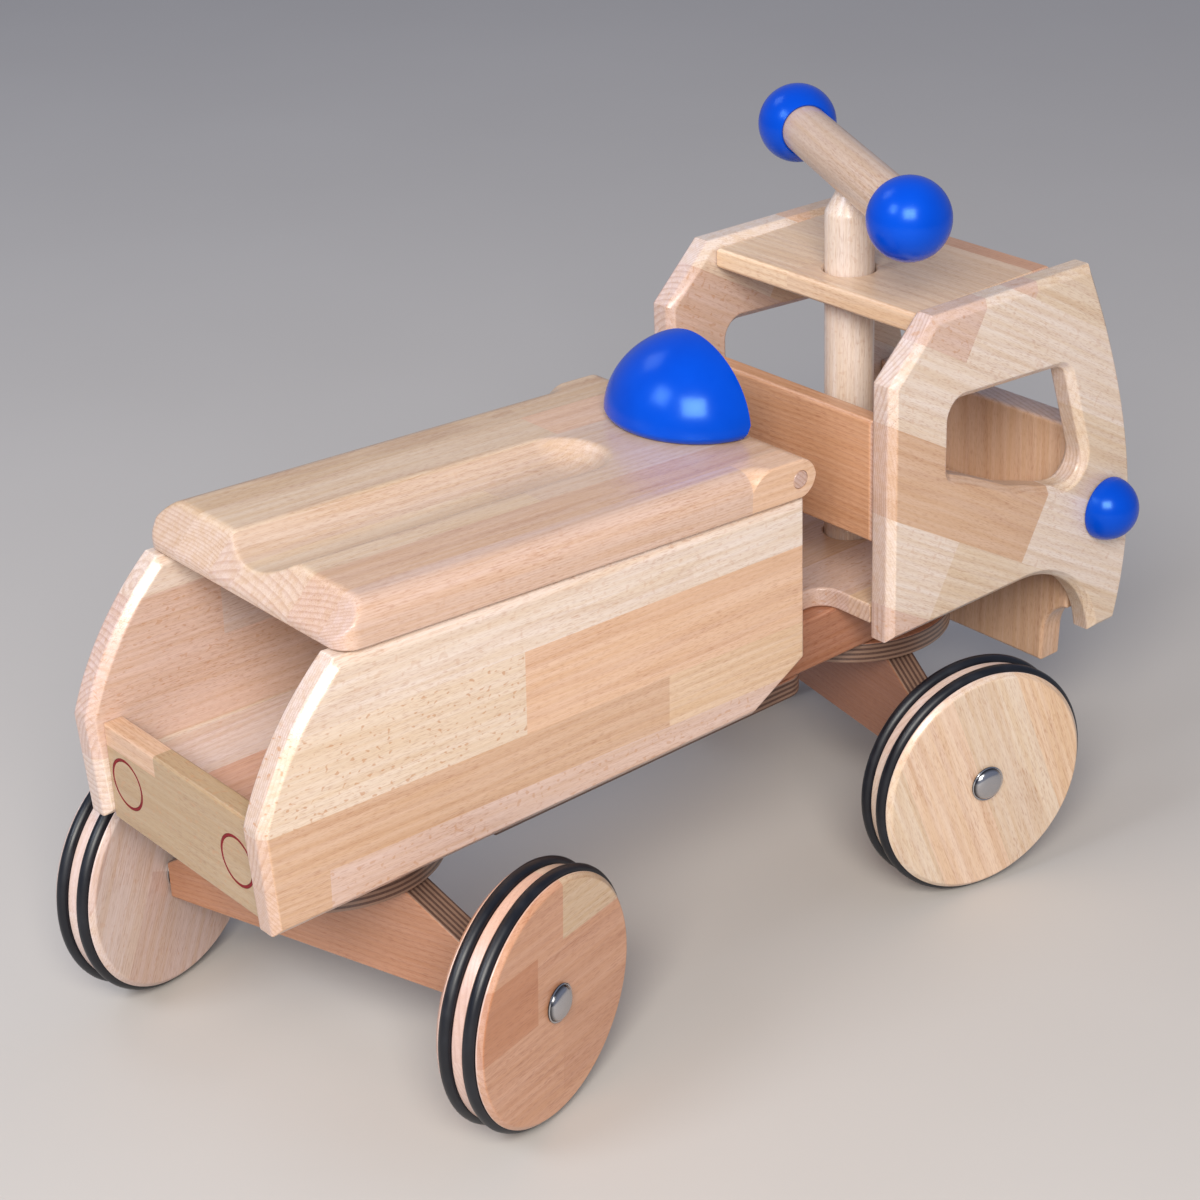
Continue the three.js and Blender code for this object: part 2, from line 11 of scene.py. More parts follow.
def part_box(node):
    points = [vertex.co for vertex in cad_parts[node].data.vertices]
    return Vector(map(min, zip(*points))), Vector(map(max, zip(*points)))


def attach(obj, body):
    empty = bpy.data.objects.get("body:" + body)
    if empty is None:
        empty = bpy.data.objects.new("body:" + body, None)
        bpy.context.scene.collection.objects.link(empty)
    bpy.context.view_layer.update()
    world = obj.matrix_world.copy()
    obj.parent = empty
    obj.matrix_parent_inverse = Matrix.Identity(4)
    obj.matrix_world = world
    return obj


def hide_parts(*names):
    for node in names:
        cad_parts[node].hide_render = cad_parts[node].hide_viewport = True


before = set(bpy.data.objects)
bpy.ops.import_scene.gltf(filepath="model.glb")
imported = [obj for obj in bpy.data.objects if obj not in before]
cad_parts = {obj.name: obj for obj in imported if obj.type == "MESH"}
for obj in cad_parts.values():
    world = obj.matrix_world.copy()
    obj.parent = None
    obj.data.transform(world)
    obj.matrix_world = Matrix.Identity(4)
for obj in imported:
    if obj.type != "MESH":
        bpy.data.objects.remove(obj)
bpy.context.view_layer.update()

# ---- sizes, in millimetres, repeated from the CAD source ----
# Along the truck, y = 0 is the rear turntable's centre; SHIFT takes that to the row frame.
MM = 0.001
GAP = 0.3
BOARD = 18
THIN = 12
EDGE = 4
SOFT = 1.5
TYRE_R = 69
WHEEL_R = 66
WHEEL_W = 28
RING_R = 3.5
RING_OFFSET = 7
TRACK = 274.6
FRONT_Y = 374
REAR_YAW = 16.6
FRONT_YAW = -11.1
HANDLE_YAW = -26.2
TURNTABLE_R = 60
PLANK_Z = 128
PLANK_H = 32
PLANK_W = 100
BOX_W = 169
BOX_Z = 141
LID_SLOPE = 0.0519
BOX_TOP_FRONT_Y = 258.3
BOX_TOP_FRONT_Z = 255.7
LID_T = 22
LID_CLEAR = 1.2
DOWEL_R = 5
LID_AXIS_Y = 253
CAB_W = 192
CAB_REAR = 309.2
CAB_Z = 155
BOARD_Y = 480
POST_R = 14
BAR_Z = 389
BALL_R = 22.5
BALL_SPACING = 184
FLOOR_Z = PLANK_Z + PLANK_H + GAP
FLOOR_TOP = FLOOR_Z + THIN - GAP
BOX_IN = BOX_W / 2 - BOARD
CAB_IN = CAB_W / 2 - BOARD
TURNTABLE_Z = PLANK_Z - 2 * GAP - THIN
TAIL_Y = -83.5
TAIL_TOP = 195


def centre(node):
    low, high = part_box(node)
    return (low + high) / 2


SHIFT = centre("rear_turntable").y


def box_top(y):
    """Height of the box sides' upper edge."""
    return BOX_TOP_FRONT_Z + (BOX_TOP_FRONT_Y - y) * LID_SLOPE


LID_AXIS_Z = box_top(LID_AXIS_Y) + LID_CLEAR + LID_T / 2


# ---- outlines ----
def arc(cu, cv, radius, start, end, steps):
    """Points of an arc from start to end, in radians."""
    return [(cu + radius * math.cos(a), cv + radius * math.sin(a))
            for a in np.linspace(start, end, steps + 1)]


def bezier(*controls, steps=24):
    """Points of a Bezier curve of any degree."""
    n = len(controls) - 1
    points = []
    for t in np.linspace(0, 1, steps + 1):
        weights = [math.comb(n, i) * t ** i * (1 - t) ** (n - i) for i in range(n + 1)]
        points.append(tuple(sum(w * c[k] for w, c in zip(weights, controls)) for k in (0, 1)))
    return points


def outline(corners, arc_steps=8):
    """A closed outline of corners (u, v, radius): a corner with a radius is rounded."""
    points = []
    count = len(corners)
    for i, (u, v, *rest) in enumerate(corners):
        radius = rest[0] if rest else 0
        if not radius:
            points.append((u, v))
            continue
        corner = Vector((u, v))
        before = (Vector(corners[i - 1][:2]) - corner).normalized()
        after = (Vector(corners[(i + 1) % count][:2]) - corner).normalized()
        half = before.angle(after) / 2
        middle = corner + (before + after).normalized() * (radius / math.sin(half))
        start = corner + before * (radius / math.tan(half)) - middle
        end = corner + after * (radius / math.tan(half)) - middle
        first = math.atan2(start.y, start.x)
        turn = math.remainder(math.atan2(end.y, end.x) - first, 2 * math.pi)
        points += arc(middle.x, middle.y, radius, first, first + turn, arc_steps)
    return points


def rectangle(u0, v0, u1, v1, radius=0):
    return outline([(u0, v0, radius), (u1, v0, radius), (u1, v1, radius), (u0, v1, radius)])


def circle(cu, cv, radius, steps=48):
    return arc(cu, cv, radius, 0, 2 * math.pi, steps)[:-1]


def wound(points, anticlockwise):
    """The loop as an array without repeated points, wound the way asked for."""
    loop = np.array([p for i, p in enumerate(points) if math.dist(p, points[i - 1]) > 1e-6])
    u, v = loop[:, 0], loop[:, 1]
    area = np.sum(u * np.roll(v, -1) - v * np.roll(u, -1))
    return loop if (area > 0) == anticlockwise else loop[::-1]


def inset(loop, distance):
    """The loop moved into the material on its left, with mitred corners."""
    ahead = np.roll(loop, -1, axis=0) - loop
    ahead /= np.linalg.norm(ahead, axis=1)[:, None]
    normal = np.stack([-ahead[:, 1], ahead[:, 0]], axis=1)
    previous = np.roll(normal, 1, axis=0)
    dot = np.sum(normal * previous, axis=1)[:, None]
    return loop + distance * (normal + previous) / (1 + dot)


def eased(chamfer, radius, steps=3):
    """(inset, height) points of a chamfered edge whose two arrises are rounded off."""
    reach = radius * math.tan(math.pi / 8)
    slope = Vector((-1, 1)).normalized()
    points = []
    for corner, before, after in (
        (Vector((chamfer, 0)), Vector((-1, 0)), slope),
        (Vector((0, chamfer)), slope, Vector((0, 1))),
    ):
        start, end = corner - before * reach, corner + after * reach
        for s in np.linspace(0, 1, steps + 1):
            points.append(tuple(start * (1 - s) ** 2 + corner * (2 * s * (1 - s)) + end * s * s))
    return points


# ---- meshes, in millimetres ----
def board(loops, depth, chamfer=SOFT, radius=None, other=None):
    """A board of an outline and its holes, from w = 0 to its thickness, with eased edges."""
    loops = [wound(loop, i == 0) for i, loop in enumerate(loops)]
    radius = radius or chamfer * 1.4
    near = eased(chamfer, radius)
    far = eased(chamfer if other is None else other, radius if other is None else other * 1.4)
    profile = near + [(d, depth - w) for d, w in reversed(far)]
    bm = bmesh.new()
    rings = []
    for distance, w in profile:
        rings.append([[bm.verts.new((u, v, w)) for u, v in inset(loop, distance)] for loop in loops])
    for lower, upper in zip(rings, rings[1:]):
        for low, high in zip(lower, upper):
            for i in range(len(low)):
                bm.faces.new((low[i - 1], low[i], high[i], high[i - 1]))
    for ring, up in ((rings[0], False), (rings[-1], True)):
        if len(ring) == 1:
            bm.faces.new(ring[0] if up else ring[0][::-1])
            continue
        verts = [v for loop in ring for v in loop]
        for tri in tessellate_polygon([[v.co for v in loop] for loop in ring]):
            bm.faces.new([verts[i] for i in tri])
    return bm


def turned(profile, segments=96, closed=False):
    """A body turned about the z axis from (radius, height) points."""
    bm = bmesh.new()
    rings = []
    for r, h in profile:
        if r < 1e-6:
            rings.append([bm.verts.new((0, 0, h))])
            continue
        rings.append([bm.verts.new((r * math.cos(a), r * math.sin(a), h))
                      for a in np.arange(segments) * 2 * math.pi / segments])
    pairs = list(zip(rings, rings[1:])) + ([(rings[-1], rings[0])] if closed else [])
    for low, high in pairs:
        for i in range(segments):
            under = [low[0]] if len(low) == 1 else [low[i - 1], low[i]]
            over = [high[0]] if len(high) == 1 else [high[i], high[i - 1]]
            bm.faces.new(under + over)
    return bm


def moved(bm, matrix):
    bmesh.ops.transform(bm, matrix=matrix, verts=bm.verts)
    return bm


ALONG_X = Matrix(((0, 0, 1, 0), (1, 0, 0, 0), (0, 1, 0, 0), (0, 0, 0, 1)))
ALONG_Y = Matrix(((1, 0, 0, 0), (0, 0, -1, 0), (0, 1, 0, 0), (0, 0, 0, 1)))


def along_x(bm, x):
    """Stands a board up with its outline in the y-z plane and its thickness along +x from x."""
    return moved(bm, Matrix.Translation((x, 0, 0)) @ ALONG_X)


def along_y(bm, front):
    """Stands a board up with its outline in the x-z plane, its thickness reaching back from front."""
    return moved(bm, Matrix.Translation((0, front, 0)) @ ALONG_Y)


def rounded(points, radius, steps=4):
    """An open profile whose inner corners are rounded by curves that reach at most radius."""
    result = [points[0]]
    for before, corner, after in zip(points, points[1:], points[2:]):
        a, b, c = Vector(before), Vector(corner), Vector(after)
        reach = min(radius, (a - b).length / 2, (c - b).length / 2)
        start, end = b + (a - b).normalized() * reach, b + (c - b).normalized() * reach
        for s in np.linspace(0, 1, steps + 1):
            result.append(tuple(start * (1 - s) ** 2 + b * (2 * s * (1 - s)) + end * s * s))
    result.append(points[-1])
    return result


# ---- pieces ----
def piece(node, bm, body, slot, material, at=(0, 0, 0), yaw=0, soften=0.7, crease=35):
    """The shown piece for a CAD node: a mesh in millimetres at a place on the truck."""
    bmesh.ops.remove_doubles(bm, verts=bm.verts, dist=1e-4)
    bmesh.ops.recalc_face_normals(bm, faces=bm.faces)
    mesh = bpy.data.meshes.new(f"{node}_fine")
    bm.to_mesh(mesh)
    bm.free()
    mesh.transform(Matrix.Scale(MM, 4))
    mesh.shade_smooth()
    mesh.set_sharp_from_angle(angle=math.radians(crease))
    mesh.materials.append(material)
    obj = bpy.data.objects.new(f"{node}_fine", mesh)
    bpy.context.scene.collection.objects.link(obj)
    obj.location = (at[0] * MM, at[1] * MM + SHIFT, at[2] * MM)
    obj.rotation_euler.z = math.radians(yaw)
    if soften:
        ease = obj.modifiers.new("ease", "BEVEL")
        ease.width = soften * MM
        ease.segments = 3
        ease.limit_method = "ANGLE"
        ease.angle_limit = math.radians(crease)
    normals = obj.modifiers.new("normals", "WEIGHTED_NORMAL")
    normals.keep_sharp = True
    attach(obj, body)
    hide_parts(node)
    return obj


def carved(bm, tool, operation="DIFFERENCE"):
    """The mesh with another one cut out of it or added to it."""
    objects = []
    for part in (bm, tool):
        bmesh.ops.remove_doubles(part, verts=part.verts, dist=1e-4)
        bmesh.ops.recalc_face_normals(part, faces=part.faces)
        mesh = bpy.data.meshes.new("work")
        part.to_mesh(mesh)
        part.free()
        objects.append(bpy.data.objects.new("work", mesh))
        bpy.context.scene.collection.objects.link(objects[-1])
    body, other = objects
    step = body.modifiers.new("carve", "BOOLEAN")
    step.operation = operation
    step.object = other
    step.solver = "EXACT"
    made = body.evaluated_get(bpy.context.evaluated_depsgraph_get()).to_mesh()
    result = bmesh.new()
    result.from_mesh(made)
    for obj in objects:
        bpy.data.objects.remove(obj)
    return result


# ---- materials ----
class Nodes:
    """Short calls that build one material's node tree."""

    def __init__(self, name):
        self.material = bpy.data.materials.new(name)
        self.material.use_nodes = True
        self.tree = self.material.node_tree
        self.shader = self.tree.nodes["Principled BSDF"]

    def put(self, socket, value):
        if isinstance(value, bpy.types.NodeSocket):
            self.tree.links.new(value, socket)
        elif value is not None:
            socket.default_value = value

    def node(self, kind, inputs=(), **settings):
        node = self.tree.nodes.new(kind)
        for key, value in settings.items():
            setattr(node, key, value)
        for key, value in dict(inputs).items():
            self.put(node.inputs[key], value)
        return node

    def math(self, operation, *values, clamp=False):
        node = self.node("ShaderNodeMath", enumerate(values), operation=operation, use_clamp=clamp)
        return node.outputs[0]

    def dot(self, vector, direction):
        node = self.node("ShaderNodeVectorMath", {0: vector, 1: tuple(direction)}, operation="DOT_PRODUCT")
        return node.outputs["Value"]

    def vector(self, x, y, z):
        return self.node("ShaderNodeCombineXYZ", {0: x, 1: y, 2: z}).outputs[0]

    def noise(self, vector, scale=1.0, detail=2.0, rough=0.5):
        node = self.node("ShaderNodeTexNoise", {
            "Vector": vector, "Scale": scale, "Detail": detail, "Roughness": rough})
        return node.outputs["Fac"]

    def span(self, value, low, high, to_low=0.0, to_high=1.0):
        node = self.node("ShaderNodeMapRange", {
            "Value": value, "From Min": low, "From Max": high, "To Min": to_low, "To Max": to_high},
            interpolation_type="SMOOTHSTEP")
        return node.outputs[0]

    def mix(self, factor, a, b, blend="MIX"):
        node = self.node("ShaderNodeMix", {0: factor, 6: a, 7: b}, data_type="RGBA", blend_type=blend)
        return node.outputs[2]

    def scaled(self, color, factor):
        node = self.node("ShaderNodeVectorMath", {0: color, "Scale": factor}, operation="SCALE")
        return node.outputs[0]

    def bands(self, value, edges, colors):
        """A colour for each band above an edge, and its alpha."""
        node = self.node("ShaderNodeValToRGB", {0: value})
        node.color_ramp.interpolation = "CONSTANT"
        stops = node.color_ramp.elements
        stops.remove(stops[1])
        stops[0].color = colors[0]
        for edge, color in zip(edges[1:], colors[1:]):
            stops.new(edge).color = color
        return node.outputs

    def finish(self, color, roughness, height=None, depth=0.1, strength=0.5, **constants):
        self.put(self.shader.inputs["Base Color"], color)
        self.put(self.shader.inputs["Roughness"], roughness)
        if height is not None:
            bump = self.node("ShaderNodeBump", {
                "Height": height, "Strength": strength, "Distance": depth * MM})
            self.put(self.shader.inputs["Normal"], bump.outputs[0])
        for key, value in constants.items():
            self.shader.inputs[key.replace("_", " ")].default_value = value
        return self.material


# A tone is a colour and how far the stave is cut on the quarter, which shows flecks in place of rings.
CREAM = (0.77, 0.64, 0.55, 0.5)
SPECKLED = (0.75, 0.60, 0.475, 1.0)
STRAW = (0.69, 0.51, 0.36, 0.1)
HONEY = (0.73, 0.52, 0.36, 0.2)
PEACH = (0.74, 0.49, 0.34, 0.3)
ROSE = (0.68, 0.49, 0.41, 0.7)
TAN = (0.64, 0.42, 0.285, 0.3)
AMBER = (0.52, 0.23, 0.12, 0.4)
GINGER = (0.60, 0.33, 0.195, 0.0)
WHEAT = (0.72, 0.57, 0.44, 0.3)
DUSK = (0.60, 0.36, 0.27, 0.2)
RUSSET = (0.47, 0.22, 0.135, 0.2)
OLIVE = (0.44, 0.305, 0.18, 0.6)
BISCUIT = (0.62, 0.44, 0.29, 0.1)
# partly the wood's own pinkish grey, partly a painted cool tint of sky light on faces in shade
MAUVE_SKY_TINTED = (0.58, 0.43, 0.38, 0.5)
PALE_HONEY = (0.75, 0.55, 0.41, 0.1)
GOLD = (0.79, 0.58, 0.40, 0.2)
# partly the wood's own pinkish grey, partly a painted cool tint of sky light on faces in shade
LILAC_SKY_TINTED = (0.64, 0.515, 0.47, 0.5)
RUST = (0.60, 0.32, 0.20, 0.3)
SAND = (0.66, 0.48, 0.36, 0.4)
APRICOT = (0.66, 0.46, 0.36, 0.4)
MAHOGANY = (0.45, 0.225, 0.135, 0.2)
# MAHOGANY darkened: painted shade for the front axle block
MAHOGANY_IN_SHADE = (0.33, 0.15, 0.09, 0.2)
BEECH_TONES = (CREAM, CREAM, SPECKLED, HONEY, PEACH, ROSE, TAN)
END_GRAIN = (0.57, 0.44, 0.415, 1)
LATE_WOOD = (0.50, 0.26, 0.15, 1)
# paler colour for the wheels' treads: painted light, standing in for window light falling on them
PAINTED_LIT_RIM = (0.76, 0.60, 0.55, 1)
FLECK = (0.50, 0.23, 0.10, 1)
X, Y, Z = Vector((1, 0, 0)), Vector((0, 1, 0)), Vector((0, 0, 1))


def random_staves(low, high, joints, seed, tones=BEECH_TONES, pitch=42):
    """Staves across a board: (lower edge, tone, place of its butt joint, tone beyond the joint)."""
    draw = random.Random(seed)
    staves = []
    edge = low - draw.uniform(0, pitch / 2)
    while edge < high:
        staves.append((edge, draw.choice(tones), draw.uniform(*joints), draw.choice(tones)))
        edge += pitch * draw.uniform(0.85, 1.1)
    return staves


def beech_pattern(n, grain, across, staves, seed):
    """Edge-glued beech: its colour, roughness and height, solid through the piece.

    Each block has its own tone, its own growth rings round a pith outside it, and short ray flecks.
    """
    coordinates = n.node("ShaderNodeTexCoord").outputs
    here, facing = coordinates["Object"], coordinates["Normal"]
    grain, across = grain.normalized(), across.normalized()
    g, a = n.dot(here, grain / MM), n.dot(here, across / MM)
    d = n.dot(here, grain.cross(across) / MM)
    low = staves[0][0]
    reach = staves[-1][0] - low + 60
    place = n.math("DIVIDE", n.math("SUBTRACT", a, low), reach)
    edges = [(stave[0] - low) / reach for stave in staves]
    middles = [(e + f) / 2 for e, f in zip(edges, edges[1:] + [1])]
    near = n.bands(place, edges, [stave[1] for stave in staves])
    far = n.bands(place, edges, [stave[3] for stave in staves])
    joint = n.bands(place, edges, [(stave[2] / 1000 + 0.5,) * 3 + (1,) for stave in staves])[0]
    middle = n.bands(place, edges, [(m, m, m, 1) for m in middles])[0]
    beyond = n.math("GREATER_THAN", n.math("MULTIPLY_ADD", g, 0.001, 0.5), joint)
    tone = n.mix(beyond, near[0], far[0])
    quarter = n.node("ShaderNodeMix", {0: beyond, 2: near[1], 3: far[1]}).outputs[0]
    block = n.node("ShaderNodeTexWhiteNoise", {
        "Vector": n.vector(n.math("MULTIPLY", middle, 40), beyond, seed)}, noise_dimensions="3D").outputs
    tint, spare = block["Value"], n.node("ShaderNodeSeparateColor", {0: block["Color"]}).outputs

    # rings round a pith outside the stave, which wanders slowly along the grain
    drift = n.noise(n.vector(n.math("DIVIDE", g, 130), n.math("MULTIPLY", tint, 90), seed), detail=1)
    local = n.math("MULTIPLY", n.math("SUBTRACT", place, middle), reach)
    pith_a = n.math("MULTIPLY_ADD", n.math("SUBTRACT", spare[0], 0.5), 170, local)
    pith_a = n.math("MULTIPLY_ADD", n.math("SUBTRACT", drift, 0.5), 12, pith_a)
    pith_d = n.math("ADD", d, n.math("MULTIPLY_ADD", spare[1], 70, 30))
    radius = n.math("SQRT", n.math("ADD", n.math("POWER", pith_a, 2), n.math("POWER", pith_d, 2)))
    wave = n.noise(n.vector(n.math("DIVIDE", g, 110), n.math("DIVIDE", a, 26), n.math("DIVIDE", d, 26)))
    radius = n.math("MULTIPLY_ADD", wave, 2, radius)
    ring = n.span(spare[2], 0, 1, 1.3, 3.8)
    turn = n.math("FRACT", n.math("DIVIDE", radius, ring))
    late = n.math("MULTIPLY", n.span(turn, 0.35, 0.92), n.span(turn, 1.0, 0.93))

    # ray flecks: thin round the ring, longer along the grain and towards the pith
    around = n.math("MULTIPLY", n.math("ARCTAN2", pith_a, pith_d), 60)
    ray = n.noise(n.vector(
        n.math("DIVIDE", g, 3), n.math("DIVIDE", around, 1), n.math("DIVIDE", radius, 4)), detail=0)
    patchy = n.noise(n.vector(n.math("DIVIDE", g, 45), n.math("DIVIDE", a, 20), tint), detail=1)
    fleck = n.math("MULTIPLY", n.span(ray, 0.67, 0.77), n.span(quarter, 0.3, 1, 0.15, 1))
    mirror = n.noise(n.vector(n.math("DIVIDE", g, 4.2), n.math("DIVIDE", a, 1.7), n.math("DIVIDE", d, 3)))
    mirror = n.math("MULTIPLY", n.span(mirror, 0.6, 0.7), n.span(quarter, 0.75, 1))
    fibre = n.noise(n.vector(
        n.math("DIVIDE", g, 22), n.math("DIVIDE", a, 0.3), n.math("DIVIDE", d, 0.3)), detail=3)
    streak = n.noise(n.vector(
        n.math("DIVIDE", g, 90), n.math("DIVIDE", a, 3), n.math("DIVIDE", d, 3)), detail=3)
    pore = n.noise(n.vector(
        n.math("DIVIDE", g, 5), n.math("DIVIDE", a, 0.5), n.math("DIVIDE", d, 0.5)), detail=1)

    sawn = n.span(n.math("ABSOLUTE", n.dot(facing, grain)), 0.45, 0.85)
    lines = n.math("MULTIPLY", late, n.span(quarter, 0, 1, 0.2, 0.05))
    lines = n.math("MULTIPLY_ADD", n.span(pore, 0.48, 0.72), 0.34, lines)
    lines = n.math("MULTIPLY", lines, n.span(patchy, 0.2, 0.8, 0.5, 1.2))
    lines = n.math("MAXIMUM", lines, n.math("MULTIPLY", n.math("MULTIPLY", late, sawn), 0.36))
    color = n.mix(n.math("MULTIPLY", sawn, 0.55), tone, END_GRAIN)
    color = n.mix(n.span(streak, 0.3, 0.7), n.mix(1, color, (0.96, 0.91, 0.82, 1), "MULTIPLY"),
                  n.mix(1, color, (1.04, 1.06, 1.08, 1), "MULTIPLY"))
    color = n.mix(lines, color, LATE_WOOD, "MULTIPLY")
    color = n.mix(n.math("MULTIPLY", fleck, 0.6), color, FLECK)
    color = n.mix(n.math("MULTIPLY", mirror, 0.2), color, TAN[:3] + (1,))
    color = n.scaled(color, n.span(fibre, 0.2, 0.8, 0.95, 1.04))
    rough = n.math("MULTIPLY_ADD", fibre, 0.12, n.span(late, 0, 1, 0.32, 0.27))
    height = n.math("SUBTRACT", n.math("MULTIPLY", fibre, 0.5), n.math("MULTIPLY_ADD", fleck, 0.6, late))
    return color, rough, height


LACQUER = {"Coat_Weight": 0.5, "Coat_Roughness": 0.22, "IOR": 1.48}


def beech(name, grain, across, staves, seed=0.0):
    n = Nodes(name)
    color, rough, height = beech_pattern(n, grain, across, staves, seed)
    return n.finish(color, rough, height, depth=0.05, strength=0.5, **LACQUER)


def wheel_wood(name, grain, staves, seed):
    """Beech whose turned rim is painted paler than its flat faces: painted light, as if the window behind
    lit the tread.
    """
    n = Nodes(name)
    color, rough, height = beech_pattern(n, grain, X.cross(grain), staves, seed)
    facing = n.node("ShaderNodeTexCoord").outputs["Normal"]
    # painted light: where the surface turns away from the axle, the tread is mixed towards the paler colour
    painted_rim_light = n.span(n.math("ABSOLUTE", n.dot(facing, X)), 0.75, 0.35, 0, 0.32)
    return n.finish(n.mix(painted_rim_light, color, PAINTED_LIT_RIM), rough, height, depth=0.05, strength=0.5, **LACQUER)


def one_piece(tone, width=100):
    """The staves of a piece sawn from one board."""
    return [(-width, tone, 0, tone)]


PLY = 1.5


def plywood(name, grain, through, seed=0.0, tone=RUSSET, start=0.0):
    """Plywood: veneer on its two faces, and light and dark plies on every edge."""
    n = Nodes(name)
    across = grain.cross(through)
    color, rough, height = beech_pattern(n, grain, across, one_piece(tone), seed)
    coordinates = n.node("ShaderNodeTexCoord").outputs
    here, facing = coordinates["Object"], coordinates["Normal"]
    t = n.math("DIVIDE", n.math("ADD", n.dot(here, through / MM), start), PLY)
    end_ply = n.span(n.math("ABSOLUTE", n.math("SUBTRACT", n.math("FLOORED_MODULO", t, 2), 1)), 0.42, 0.58)
    short = n.noise(n.scaled(here, 1 / MM), 1.1, 3)
    long = n.noise(n.vector(n.dot(here, grain / (6 * MM)), n.dot(here, across / (6 * MM)),
                            n.math("MULTIPLY", t, 5)), 1, 3)
    pale = n.mix(long, (0.20, 0.12, 0.085, 1), (0.33, 0.21, 0.15, 1))
    dark = n.mix(short, (0.06, 0.03, 0.024, 1), (0.15, 0.085, 0.065, 1))
    edge = n.mix(end_ply, pale, dark)
    on_edge = n.span(n.math("ABSOLUTE", n.dot(facing, through)), 0.75, 0.6)
    color = n.mix(on_edge, color, edge)
    rough = n.math("MULTIPLY_ADD", on_edge, 0.12, rough)
    height = n.math("SUBTRACT", height, n.math("MULTIPLY", n.math("MULTIPLY", on_edge, end_ply), 0.8))
    return n.finish(color, rough, height, depth=0.08, strength=0.5, **LACQUER)


def blue_paint(name, seed=0.0):
    """Satin blue over turned wood, a little uneven."""
    n = Nodes(name)
    here = n.node("ShaderNodeTexCoord").outputs["Object"]
    here = n.node("ShaderNodeVectorMath", {0: here, 1: (seed, seed, 0)}, operation="ADD").outputs[0]
    cloud = n.noise(here, 35, 3)
    skin = n.noise(here, 900, 2)
    grain = n.noise(n.node("ShaderNodeMapping", {0: here, 3: (700, 90, 700)}).outputs[0], 1, 2)
    color = n.mix(cloud, (0.0, 0.046, 0.46, 1), (0.0, 0.070, 0.60, 1))
    rough = n.span(n.math("ADD", cloud, n.math("MULTIPLY", skin, 0.5)), 0.4, 1.1, 0.19, 0.28)
    height = n.math("MULTIPLY_ADD", skin, 0.5, grain)
    return n.finish(color, rough, height, depth=0.03, strength=0.35, IOR=1.48,
                    Specular_Tint=(0.3, 0.68, 1.0, 1))


def rubber(name):
    """Black rubber with a little dust on it."""
    n = Nodes(name)
    here = n.node("ShaderNodeTexCoord").outputs["Object"]
    dust = n.noise(here, 60, 4)
    pits = n.noise(here, 1500, 2)
    color = n.mix(n.span(dust, 0.45, 0.8), (0.002, 0.003, 0.007, 1), (0.010, 0.012, 0.019, 1))
    rough = n.span(dust, 0.3, 0.8, 0.34, 0.52)
    return n.finish(color, rough, pits, depth=0.04, strength=0.4, IOR=1.52)


def steel(name, polish, tone=(0.60, 0.60, 0.61), rim=0.0):
    """Bright steel with fine scratches; where a rim is given, its steep edge is painted darker, a painted
    reflection of the dark floor.
    """
    n = Nodes(name)
    coordinates = n.node("ShaderNodeTexCoord").outputs
    here = coordinates["Object"]
    smear = n.noise(here, 220, 3)
    scratch = n.noise(n.node("ShaderNodeMapping", {0: here, 3: (90, 4000, 500)}).outputs[0], 1, 3)
    color = n.mix(smear, [0.95 * c for c in tone] + [1], [1.05 * c for c in tone] + [1])
    if rim:
        # painted reflection: the steep edge darkened as if it mirrored the dark floor
        painted_dark_reflection = n.span(n.math("ABSOLUTE", n.dot(coordinates["Normal"], X)), 0.85, 0.45, 0, rim)
        color = n.mix(painted_dark_reflection, color, (0.02, 0.02, 0.024, 1))
    rough = n.span(n.math("ADD", smear, scratch), 0.6, 1.4, polish, polish + 0.12)
    return n.finish(color, rough, scratch, depth=0.01, strength=0.3, Metallic=1.0)


def red_stain(name):
    """Dark red stain, a little patchy."""
    n = Nodes(name)
    here = n.node("ShaderNodeTexCoord").outputs["Object"]
    patch = n.noise(here, 400, 3)
    color = n.mix(patch, (0.13, 0.001, 0.004, 1), (0.26, 0.004, 0.011, 1))
    return n.finish(color, n.span(patch, 0.2, 0.8, 0.45, 0.6), patch, depth=0.03, strength=0.3, IOR=1.35)


# ---- chassis ----
BOLT_SPACE = 12
PLANK_REAR = -70
plank = board([
    rectangle(-PLANK_W / 2, PLANK_REAR, PLANK_W / 2, BOARD_Y - GAP),
    circle(0, FRONT_Y, POST_R + GAP),
    circle(0, 0, BOLT_SPACE),
], PLANK_H)
piece("chassis_plank", plank, "truck", "beech",
      beech("plank_wood", Y, X, one_piece(RUSSET), 3.1), at=(0, 0, PLANK_Z))

KEEL = {"rear": TURNTABLE_R + 8, "front": 293, "corner": 14}
keel = board([outline([
    (-PLANK_W / 2, KEEL["rear"]), (PLANK_W / 2, KEEL["rear"]),
    (PLANK_W / 2, KEEL["front"], KEEL["corner"]), (-PLANK_W / 2, KEEL["front"], KEEL["corner"]),
])], THIN, 1)
piece("keel_plate", keel, "truck", "plywood", plywood("keel_wood", Y, Z, 1.7, start=PLANK_Z - THIN),
      at=(0, 0, PLANK_Z - GAP - THIN))

